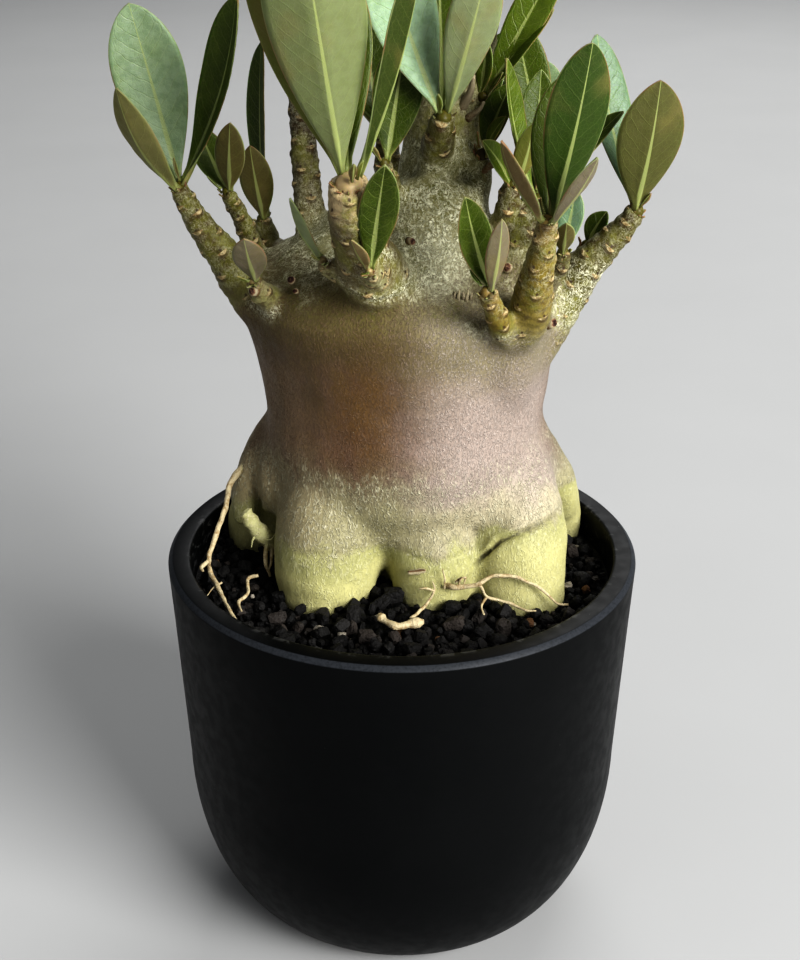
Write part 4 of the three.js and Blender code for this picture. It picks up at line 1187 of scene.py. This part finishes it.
stubs = {
    "colours": [(0.0, (0.100, 0.095, 0.036)), (0.32, (0.150, 0.085, 0.038)), (0.55, (0.28, 0.235, 0.155)),
                (0.80, (0.37, 0.32, 0.20)), (0.96, (0.17, 0.085, 0.048)), (1.0, (0.035, 0.014, 0.010))],
    "scars": [  # foot, way out, length, radius: a pale ring round a dark eye
        ((24.4, -12.0, 180.2), (-0.35, -0.85, 0.35), 1.2, 1.15),
        ((34.5, -16.6, 168.4), (0.7, -0.61, 0.37), 1.2, 1.2),
        ((-33.6, -18.6, 176.8), (-0.5, -0.8, 0.2), 0.9, 1.0),
        ((2.0, -21.5, 189.5), (0.45, -0.85, 0.3), 0.9, 0.8),
        ((-25.5, -15.5, 178.5), (-0.3, -0.85, 0.4), 0.6, 0.8),
        ((-24.5, -16.2, 176.0), (-0.3, -0.85, 0.4), 0.5, 0.6),
        ((40.5, 6, 172.5), (0.8, 0.2, 0.5), 1.0, 1.1), ((-12, 33, 172), (-0.3, 0.8, 0.5), 1.2, 1.2),
        ((20, 34, 170), (0.4, 0.8, 0.5), 1.1, 1.1), ((30, 22, 176), (0.5, 0.4, 0.8), 1.2, 1.0),
        ((-27, 8, 176), (-0.5, -0.1, 0.85), 1.0, 0.9),
    ],
    "twigs": [  # dead, dried twigs: line, radii, how pale
        ([(12.3, -19.2, 174.9), (11.9, -20.1, 176.2), (12.1, -19.9, 177.2)], [0.36, 0.34, 0.2], 0.55),
        ([(13.0, -19.4, 174.4), (12.7, -20.5, 176.1), (13.0, -20.3, 177.9)], [0.38, 0.42, 0.2], 0.66),
        ([(13.8, -19.5, 174.6), (13.9, -20.6, 176.4), (13.7, -20.4, 177.4)], [0.32, 0.34, 0.2], 0.50),
        ([(14.6, -19.5, 174.3), (14.7, -20.5, 175.9), (14.9, -20.3, 177.8)], [0.38, 0.42, 0.2], 0.62),
        ([(15.4, -19.3, 174.9), (15.7, -20.1, 176.2), (15.8, -19.9, 177.0)], [0.32, 0.32, 0.2], 0.52),
        ([(17, -1, 199), (19.5, -4, 201.5), (21.5, -6, 204.5)], [0.9, 0.7, 0.5], 0.3),
        ([(20, -5, 202), (24, -7.5, 204.5), (26.5, -8.5, 204.8)], [0.6, 0.45, 0.3], 0.4),
        ([(13.5, 1, 214), (15.5, -2, 219), (16, -3.6, 222.5)], [1.3, 0.8, 0.4], 0.48),
        ([(15, 0, 212), (17.4, -2.4, 214.6), (18.6, -3.2, 216.6)], [0.9, 0.55, 0.3], 0.42),
    ],
    "flakes": [  # torn skin on the middle toe: from, to, width, curl
        ((1.4, -21.2, 105.6), (5.8, -21.6, 106.3), 1.4, 0.5),
        ((13.0, -22.2, 103.4), (14.6, -22.0, 104.6), 0.6, 0.5),
    ],
}


def addStub(bm, layer, line, radii, low, high, wobble=0.16):
    verts = addLimb(bm, line, radii, 14, 10, wobble)
    foot, top = Vector(line[0]) * mm, Vector(line[-1]) * mm
    for vert in verts:
        share = (vert.co - foot).dot(top - foot) / (top - foot).length_squared
        vert[layer] = low + (high - low) * share


def makeStubs():
    bm = bmesh.new()
    layer = bm.verts.layers.float.new("stub")
    for foot, out, length, radius in stubs["scars"]:
        foot, out = Vector(foot), Vector(out).normalized()
        ring = [foot - out * 0.8, foot + out * length * 0.6, foot + out * length]
        addStub(bm, layer, ring, [radius * 1.15, radius, radius * 0.62], 0, 1, 0.4)
        eye = [foot + out * length * 0.9, foot + out * (length + 0.25)]
        addStub(bm, layer, eye, [radius * 0.42, radius * 0.3], 1, 1)
    for line, radii, pale in stubs["twigs"]:
        addStub(bm, layer, line, radii, pale, pale + 0.15)
    for flake in stubs["flakes"]:
        addFlake(bm, layer, *flake)
    bmesh.ops.recalc_face_normals(bm, faces=bm.faces)
    piece = objectOf("stubs_and_flakes", bm)
    material, shader, place = newMaterial("driedBark", {"Specular IOR Level": 0.3})
    mottle = noiseOf(place, 1.5, 4.0, 0.65)
    skin = colourRamp(attributeOf(place, "stub") + (mottle - 0.5) * 0.5, stubs["colours"])
    relief, gloss = grainOn(place, 3.4, 0.6, 0.8)
    dress(shader, skin, gloss, relief, 0.00025)
    finishPiece(piece, material, "bark")
    print("stubs:", len(piece.data.polygons), "faces")


def addFlake(bm, layer, start, end, width, curl):
    start, end = Vector(start) * mm, Vector(end) * mm
    side = Vector((0, -1, 0)).cross(end - start).normalized()
    upper, lower = twoSheets(bm, 5, 12)
    for depth, verts in ((0.0, upper), (0.22, lower)):
        for vert in verts:
            out, share = vert.co.x, (vert.co.y + 1) / 2
            ragged = 1 + 0.5 * noise.noise(Vector((share * 5, out, start.x * 900)))
            slim = math.sin(math.pi * (0.12 + 0.8 * share)) ** 0.5
            place = start.lerp(end, share) + side * out * width / 2 * slim * ragged * mm
            vert.co = place - Vector((0, 1, 0)) * (curl * out * out + 0.25 - depth) * mm
            vert[layer] = 0.30 if abs(out) < 0.5 else 0.75


makeStubs()


# Leaves: one piece for each tuft, with its growing tip and its blades

leaf = {
    "rise": 1.25, "fall": 0.66, "smallRise": 0.26, "smallFall": 0.12,  # the breadth towards foot and tip
    "petioleHalf": 0.85, "grid": (12, 30), "smallGrid": (4, 10), "smallLength": 8, "thickness": 0.62,
    "quiltPitch": 3.4, "veinPitch": 3.5,
    "uppers": {
        # the pale upper is partly the blade's own colour and partly painted light, lightened as if more light
        # fell on these blades
        "pale": (0.245, 0.320, 0.195), "dark": (0.056, 0.082, 0.007), "mid": (0.044, 0.066, 0.005),
        "bright": (0.072, 0.104, 0.006), "rust": (0.105, 0.030, 0.014), "blue": (0.275, 0.375, 0.245),
        "sage": (0.151, 0.225, 0.137),
    },
    "unders": {
        "olive": (0.115, 0.125, 0.020), "brown": (0.105, 0.088, 0.028), "paleUnder": (0.170, 0.195, 0.088),
        "pink": (0.190, 0.140, 0.070), "rust": (0.085, 0.026, 0.012), "greyGreen": (0.215, 0.245, 0.130),
        "greyPink": (0.175, 0.150, 0.100), "green": (0.030, 0.056, 0.005),
        "oliveBrown": (0.082, 0.082, 0.022),
        "deepOlive": (0.034, 0.050, 0.006), "dun": (0.170, 0.160, 0.060),
    },
    "upperMottle": (0.55, 0.62, 0.5), "underMottle": (0.7, 0.68, 0.6), "upperPatch": (0.22, 0.28, 0.05),
    "underPatch": (0.22, 0.17, 0.06), "vein": (0.36, 0.40, 0.13), "midrib": (0.36, 0.40, 0.18),
    "margin": (0.30, 0.34, 0.16), "redMargin": (0.30, 0.15, 0.09), "stalk": (0.30, 0.33, 0.11),
    "tipScale": (0.42, 0.31, 0.17), "tipBud": (0.075, 0.022, 0.012),
}


def bladeHalf(share, width, length):
    # small blades are pointed at both ends, large ones broad near the tip
    small = 1 - smoothShare(24, 48, length)
    rise, fall = leaf["rise"] - leaf["smallRise"] * small, leaf["fall"] + leaf["smallFall"] * small
    peak = rise / (rise + fall)
    shape = (share / peak) ** rise * ((1 - share) / (1 - peak)) ** fall
    stalk = leaf["petioleHalf"] * (1 if share < 0.5 else 0.12) * min(1, width / 9 + 0.3)
    return max(width / 2 * shape, stalk)


def addBlade(bm, layers, root, row, draw):
    tip, width, face, arch, fold, upper, under = row
    forward = Vector(tip) * mm - root
    length = forward.length
    forward.normalize()
    face = Vector(face)
    face = (face - forward * face.dot(forward)).normalized()
    side = forward.cross(face)
    fold = math.radians(fold)
    arch *= mm
    above, below = twoSheets(bm, *leaf["grid" if length > leaf["smallLength"] * mm else "smallGrid"])
    thick = leaf["thickness"] * min(1.0, 0.55 + width / 30) * mm
    seed = draw.uniform(0, 50)
    slight = min(1, width / 10)
    bulge = 0.10 * min(1, width / 14) * mm
    for onTop, verts in ((1, above), (0, below)):
        for vert in verts:
            out, step = vert.co.x, (vert.co.y + 1) / 2
            share = 1 - (1 - step) ** 1.3
            out = math.copysign(abs(out) ** 0.85, out)
            off = abs(out)
            half = bladeHalf(share, width, length / mm) * mm
            # the blade's middle line and its folded halves
            slope = arch * 4 * (1 - 2 * share) / length
            lift = (face - forward * slope).normalized()
            place = root + forward * (length * share) + face * (arch * 4 * share * (1 - share))
            place += side * (out * half * math.cos(fold))
            place += lift * (off ** 1.15 * half * math.sin(fold))
            # a wavy margin, and bulges between the side veins
            broad = smoothShare(0.06, 0.4, share)
            wave = noise.noise(Vector((out * 0.8 + seed, share * 3.2, seed)))
            place += lift * (wave * off ** 1.5 * 0.55 * broad * mm * slight)
            quilt = math.cos((share * length / mm - off * half / mm * 0.8) / leaf["quiltPitch"] * math.tau)
            quilt = quilt * bulge * broad * math.sin(math.pi * min(1, off))
            place += lift * (quilt if out > 0 else -quilt)
            # thin at the rim, thick at the stalk, with a keel under the midrib
            rim = max(0.22, math.sqrt(max(0.0, 1 - off ** 5)))
            depth = thick / 2 * rim * (1 + 1.1 * (1 - smoothShare(0.0, 0.22, share)))
            keel = math.exp(-(out * half / (0.55 * mm)) ** 2) * (0.42 * (1 - share) + 0.08) * mm * slight
            vert.co = place + lift * (depth - keel * 0.35) if onTop else place - lift * (depth + keel)
            setPoint(vert, layers, place=(out * half / mm, share * length / mm, share),
                     shape=(half / mm, length / mm, seed), side=onTop, blade=1.0,
                     upper=(*leaf["uppers"][upper], 1), under=(*leaf["unders"][under], 1))


def setPoint(vert, layers, **values):
    for key, value in values.items():
        vert[layers[key]] = Vector(value) if isinstance(value, tuple) else value


def smoothShare(low, high, value):
    share = min(1, max(0, (value - low) / (high - low)))
    return share * share * (3 - 2 * share)


def addTip(bm, layers, end, way, radius, colour):
    # the growing tip that the blades leave from
    line = [(end + way * d * mm) / mm for d in (-1.2, -0.2, 0.4 + radius * 0.2, 1.0 + radius * 0.25)]
    radii = [radius * share for share in (0.55, 0.72, 0.6, 0.25)]
    for vert in addLimb(bm, line, radii, 18, 9, 0.05 + radius * 0.1):
        setPoint(vert, layers, place=(0, 0, 0), shape=(1, 10, 3), side=1, blade=0.0, upper=(*colour, 1),
                 under=(*colour, 1))


def makeTuft(name, shoot, material, draw):
    bm = bmesh.new()
    verts = bm.verts.layers
    layers = {"place": verts.float_vector.new("leafPlace"), "shape": verts.float_vector.new("leafShape"),
              "side": verts.float.new("leafSide"), "blade": verts.float.new("leafBlade"),
              "upper": verts.float_color.new("leafUpper"), "under": verts.float_color.new("leafUnder")}
    end, before = Vector(shoot["line"][-1]) * mm, Vector(shoot["line"][-2]) * mm
    way = (end - before).normalized()
    radius = shoot["radii"][-1]

    def anySide():
        return Matrix.Rotation(draw.uniform(0, math.tau), 3, way) @ way.orthogonal().normalized()

    addTip(bm, layers, end, way, radius, newBark(shoot))
    for row in shoot["leaves"]:
        out = Vector(row[0]) * mm - end
        out = (out - way * out.dot(way)).normalized() * radius * 0.5 * mm
        addBlade(bm, layers, end + way * (0.2 + radius * 0.1) * mm + out, row, draw)
    # rusty scales and stubs of old stalks round the tip
    for _ in range(3 + int(radius)):
        out = anySide()
        root = end + way * draw.uniform(-0.8, 0.3) * mm + out * radius * 0.72 * mm
        reach = draw.uniform(0.9, 1.9)
        tip = (root + way * reach * mm * 0.8 + out * reach * draw.uniform(0.3, 0.9) * mm) / mm
        width = draw.uniform(0.7, 1.2)
        row = (tip, width, -out, -0.1, 20, "rust", draw.choice(["rust", "brown", "pink"]))
        addBlade(bm, layers, root, row, draw)
    # a few young leaves still folded at the tip
    for _ in range(1 if radius < 2 else 2):
        out = anySide()
        root = end + way * (1.0 + radius * 0.4) * mm + out * radius * 0.5 * mm
        reach = draw.uniform(2.2, 4.8) + radius * 0.7
        tip = (root + way * reach * mm + out * reach * 0.3 * mm) / mm
        row = (tip, reach * 0.34, -out, -0.25, 24, "dark", draw.choice(["olive", "brown"]))
        addBlade(bm, layers, root, row, draw)
    bmesh.ops.recalc_face_normals(bm, faces=bm.faces)
    finishPiece(objectOf("tuft_" + name, bm), material, "leaf", "leaves_" + name)


def makeVeinGroup():
    # the veins of a blade: its midrib, side veins that loop before the margin, and the fine net
    outputs = ["Midrib", "Sides", "Net", "Margin"]
    tree, given, out = newGroup("leafVeins", {"Place": None, "Shape": None}, outputs)
    x, y, share = axesOf(given["Place"])
    half = axesOf(given["Shape"])[0]
    away = abs(x)
    outward = away / half
    width = maths("MINIMUM", remap(share, 0.0, 1.0, 0.80, 0.10), half * 0.28)
    connect(remap(away / width, 1.0, 0.55), out["Midrib"])
    # side veins leave the midrib at about 50 degrees and bend towards the tip
    pitch = leaf["veinPitch"]
    run = y - away * 0.62 * (1.0 + outward * 0.7) + noiseOf(given["Place"], 0.35, 2.0) * 1.6
    run = run + maths("SIGN", x) * 0.85
    beat = maths("FRACT", run / pitch)
    line = remap(abs(beat - 0.5) * pitch, 0.26, 0.04) * remap(outward, 0.86, 0.78)
    loop = 0.83 + maths("COSINE", beat * math.tau) * 0.045
    loop = remap(abs(outward - loop) * half, 0.2, 0.05) * 0.7
    connect(maths("MAXIMUM", line, loop), out["Sides"])
    shifted = newNode(tree, "ShaderNodeVectorMath", {0: given["Place"], 1: given["Shape"]}, operation="ADD")
    cells = cellsOf(Field(shifted.outputs[0]), 1.05, feature="DISTANCE_TO_EDGE", voronoi_dimensions="2D")
    connect(remap(cells["Distance"], 0.12, 0.02), out["Net"])
    connect(remap((1.0 - outward) * half, 0.26, 0.10), out["Margin"])
    return tree


def makeLeafMaterial():
    material, shader, place = newMaterial("adeniumLeaf", {
        "Specular IOR Level": 0.26, "Subsurface Weight": 0.22, "Subsurface Radius": (0.6, 1.0, 0.2),
        "Subsurface Scale": 0.0011})
    side, blade = attributeOf(place, "leafSide"), attributeOf(place, "leafBlade")
    leafPlace = attributeOf(place, "leafPlace", "Vector")
    veins = placeGroup(makeVeinGroup(), Place=leafPlace, Shape=attributeOf(place, "leafShape", "Vector"))
    upper, under = attributeOf(place, "leafUpper", "Color"), attributeOf(place, "leafUnder", "Color")
    mottle = noiseOf(place, 0.5, 4.0, 0.6)
    patch = noiseOf(place, 0.09, 2.0, 0.5)
    top = mixed(remap(mottle, 0.4, 0.65, 0.0, 0.45), upper, tinted(upper, leaf["upperMottle"]))
    top = mixed(remap(patch, 0.45, 0.7, 0.0, 0.4), top, mixed(0.35, top, leaf["upperPatch"]))
    low = mixed(remap(mottle, 0.4, 0.65, 0.0, 0.3), under, tinted(under, leaf["underMottle"]))
    low = mixed(remap(patch, 0.5, 0.75, 0.0, 0.35), low, leaf["underPatch"])
    colour = mixed(side, low, top)

    def onBlade(vein, strength):
        return veins[vein] * blade * strength

    pale = mixed(0.5, colour, leaf["vein"])
    colour = mixed(onBlade("Net", remap(side, 0.0, 1.0, 0.07, 0.11)), colour, pale)
    colour = mixed(onBlade("Sides", remap(side, 0.0, 1.0, 0.10, 0.19)), colour, pale)
    colour = mixed(onBlade("Midrib", 0.9), colour, mixed(0.35, pale, leaf["midrib"]))
    margin = mixed(remap(patch, 0.4, 0.6), leaf["margin"], leaf["redMargin"])
    colour = mixed(onBlade("Margin", 0.55), colour, margin)
    stalk = remap(axesOf(leafPlace)[2], 0.14, 0.0) * blade
    colour = mixed(stalk * 0.6, colour, leaf["stalk"])
    # the tips are bark with cream scales and dark buds, not leaf
    twig = mixed(specksOn(place, 0.55, 0.35, 0.5) * 0.7, upper, leaf["tipScale"])
    twig = mixed(specksOn(place, 0.8, 0.3, 0.25) * 0.8, twig, leaf["tipBud"])
    grain = placeGroup(grainGroup, Vector=place, Scale=4.5)
    gloss = remap(side, 0.0, 1.0, 0.58, 0.40) + (grain["Variation"] - 0.5) * 0.2
    # the veins are sunk on the upper side and stand out below
    sunk = 0.0 - (veins["Sides"] * 0.5 + veins["Net"] * 0.22)
    relief = sunk * remap(side, 0.0, 1.0, -0.4, 1.0) + grain["Height"] * 0.35
    dress(shader, mixed(blade, twig, colour), gloss, relief, 0.00012)
    return material


def makeLeaves():
    draw = random.Random(11)
    material = makeLeafMaterial()
    for name, shoot in shoots.items():
        makeTuft(name, shoot, material, draw)


makeLeaves()
print("leaves:", sum(len(s["leaves"]) for s in shoots.values()), "blades in", len(shoots), "tufts")


# Soil: the fill of the pot with black volcanic grit on it

soil = {
    "height": 93.6, "dome": 1.5, "heap": 0.05, "inset": 6.1, "floor": 5.3, "sides": 120, "rings": 26,
    "passes": [  # how many grains to try, their radius, how deep they sit
        (300, (1.7, 2.7), 0.3), (1700, (1.1, 1.8), 0.9), (3600, (0.55, 1.1), 1.4),
    ],
    "reach": 53.0, "templates": 9, "cell": 6, "closest": 0.72, "largeGrain": 1.5, "fillTone": 0.15,
    "tones": [(0.0, (0.004, 0.0037, 0.0034)), (0.45, (0.0075, 0.0070, 0.0065)), (0.80, (0.016, 0.015, 0.014)),
              (0.955, (0.038, 0.031, 0.026))],
    "brown": (0.13, 0.07, 0.035), "pale": (0.30, 0.27, 0.22), "mottle": (0.024, 0.022, 0.021),
}


def soilHeight(x, y):
    reach = math.hypot(x, y) / soil["reach"]
    heap = soil["heap"] * max(0, y - 4)  # a little higher at the back
    return soil["height"] + heap + soil["dome"] * (1 - smoothShare(0.35, 1.0, reach))


def pebbleMesh(draw, cuts):
    # an angular grain: a cube with cut faces, half rounded and then dented
    bm = bmesh.new()
    bmesh.ops.create_cube(bm, size=1.5)
    bmesh.ops.subdivide_edges(bm, edges=bm.edges, cuts=cuts, use_grid_fill=True)
    seed = Vector((draw.uniform(0, 90), draw.uniform(0, 90), draw.uniform(0, 90)))
    stretch = Vector((draw.uniform(0.8, 1.15), draw.uniform(0.7, 1.0), draw.uniform(0.6, 0.9)))
    for vert in bm.verts:
        ball = vert.co.normalized()
        vert.co = vert.co.lerp(ball, 0.62) * (1 + 0.34 * noise.noise(ball * 1.3 + seed))
        vert.co += Vector(noise.noise_vector(ball * 2.6 + seed)) * 0.10
        vert.co *= stretch
    mesh = bpy.data.meshes.new("grain")
    bm.to_mesh(mesh)
    bm.free()
    return mesh


def soilFill(edge):
    # the filling of the pot, uneven on top, as a mesh
    outline = [(0, soil["floor"])] + bellyOutline(soil["inset"], soil["floor"], 8)
    outline += [(edge * (1 - i / soil["rings"]), soil["height"]) for i in range(soil["rings"] + 1)]
    bm = spun(outline, soil["sides"])
    tone = bm.verts.layers.float.new("tone")
    for vert in bm.verts:
        vert[tone] = soil["fillTone"]
        if vert.co.z > (soil["height"] - 0.1) * mm and vert.co.xy.length < (edge - 0.5) * mm:
            place = vert.co / mm
            rise = 0.55 * noise.noise(place * 0.45) + 0.35 * noise.noise(place * 1.1)
            vert.co.z = (soilHeight(place.x, place.y) + rise - 0.9) * mm
    fill = bpy.data.meshes.new("fill")
    bm.to_mesh(fill)
    bm.free()
    return fill


def grainPlaces(draw):
    # places and radii of grains that keep clear of the plant and of each other
    graph = bpy.context.evaluated_depsgraph_get()
    grown = [BVHTree.FromObject(piece, graph) for piece in (stem, looseRoots)]
    grains = []
    cells = {}
    for tries, (small, large), sink in soil["passes"]:
        for _ in range(tries):
            radius = draw.uniform(small, large)
            reach = math.sqrt(draw.random()) * (soil["reach"] - radius * 0.8)
            turn = draw.uniform(0, math.tau)
            x, y = reach * math.cos(turn), reach * math.sin(turn)
            z = soilHeight(x, y) + radius * 0.35 - sink + draw.uniform(0, 1.5)
            centre = Vector((x, y, z)) * mm
            near = [tree.find_nearest(centre) for tree in grown]
            gaps = [(centre - place).dot(way) / mm / radius for place, way, _, _ in near]
            if gaps[0] < 0.55 or (gaps[1] < 0.9 and z > near[1][0].z / mm - 1.0):
                continue
            column, row = int(x // soil["cell"]), int(y // soil["cell"])
            steps = (-1, 0, 1)
            around = [g for i in steps for j in steps for g in cells.get((column + i, row + j), [])]
            if any((x - a) ** 2 + (y - b) ** 2 + (z - c) ** 2 < ((radius + other) * soil["closest"]) ** 2
                   for a, b, c, other in around):
                continue
            cells.setdefault((column, row), []).append((x, y, z, radius))
            grains.append((x, y, z, radius))
    return grains


def makeSoil():
    draw = random.Random(5)
    bm = bmesh.new()
    bm.from_mesh(soilFill(wallRadius(soil["height"], soil["inset"])))
    tone = bm.verts.layers.float["tone"]
    templates = {cuts: [pebbleMesh(draw, cuts) for _ in range(soil["templates"])] for cuts in (1, 2)}
    grains = grainPlaces(draw)
    for x, y, z, radius in grains:
        before = len(bm.verts)
        bm.from_mesh(draw.choice(templates[2 if radius > soil["largeGrain"] else 1]))
        bm.verts.ensure_lookup_table()
        verts = bm.verts[before:]
        angle = draw.uniform(0, math.tau)
        turn = Matrix.Rotation(angle, 4, Vector([draw.random() for _ in range(3)]))
        value = draw.random()
        move = Matrix.Translation(Vector((x, y, z)) * mm) @ turn @ Matrix.Scale(radius * mm, 4)
        bmesh.ops.transform(bm, matrix=move, verts=verts)
        for vert in verts:
            vert[tone] = value
    for mesh in templates[1] + templates[2]:
        bpy.data.meshes.remove(mesh)
    piece = finishPiece(objectOf("grit", bm, smooth=False), makeGritMaterial(), "soil", "soil")
    print("soil:", len(grains), "grains", len(piece.data.polygons), "faces")


def makeGritMaterial():
    material, shader, place = newMaterial("blackGrit", {"Specular IOR Level": 0.25})
    tone = attributeOf(place, "tone")
    base = colourRamp(tone, soil["tones"])
    base = mixed(maths("GREATER_THAN", tone, 0.965), base, soil["brown"])
    base = mixed(maths("GREATER_THAN", tone, 0.990), base, soil["pale"])
    base = mixed(remap(noiseOf(place, 0.9, 4.0, 0.65), 0.5, 0.75, 0.0, 0.55), base, soil["mottle"])
    relief, gloss = grainOn(place, 2.2, 0.62, 0.9)
    pores = cellsOf(place, 1.5)["Distance"]
    dress(shader, base, gloss, pores * 0.5 + relief, 0.00045)
    return material


makeSoil()
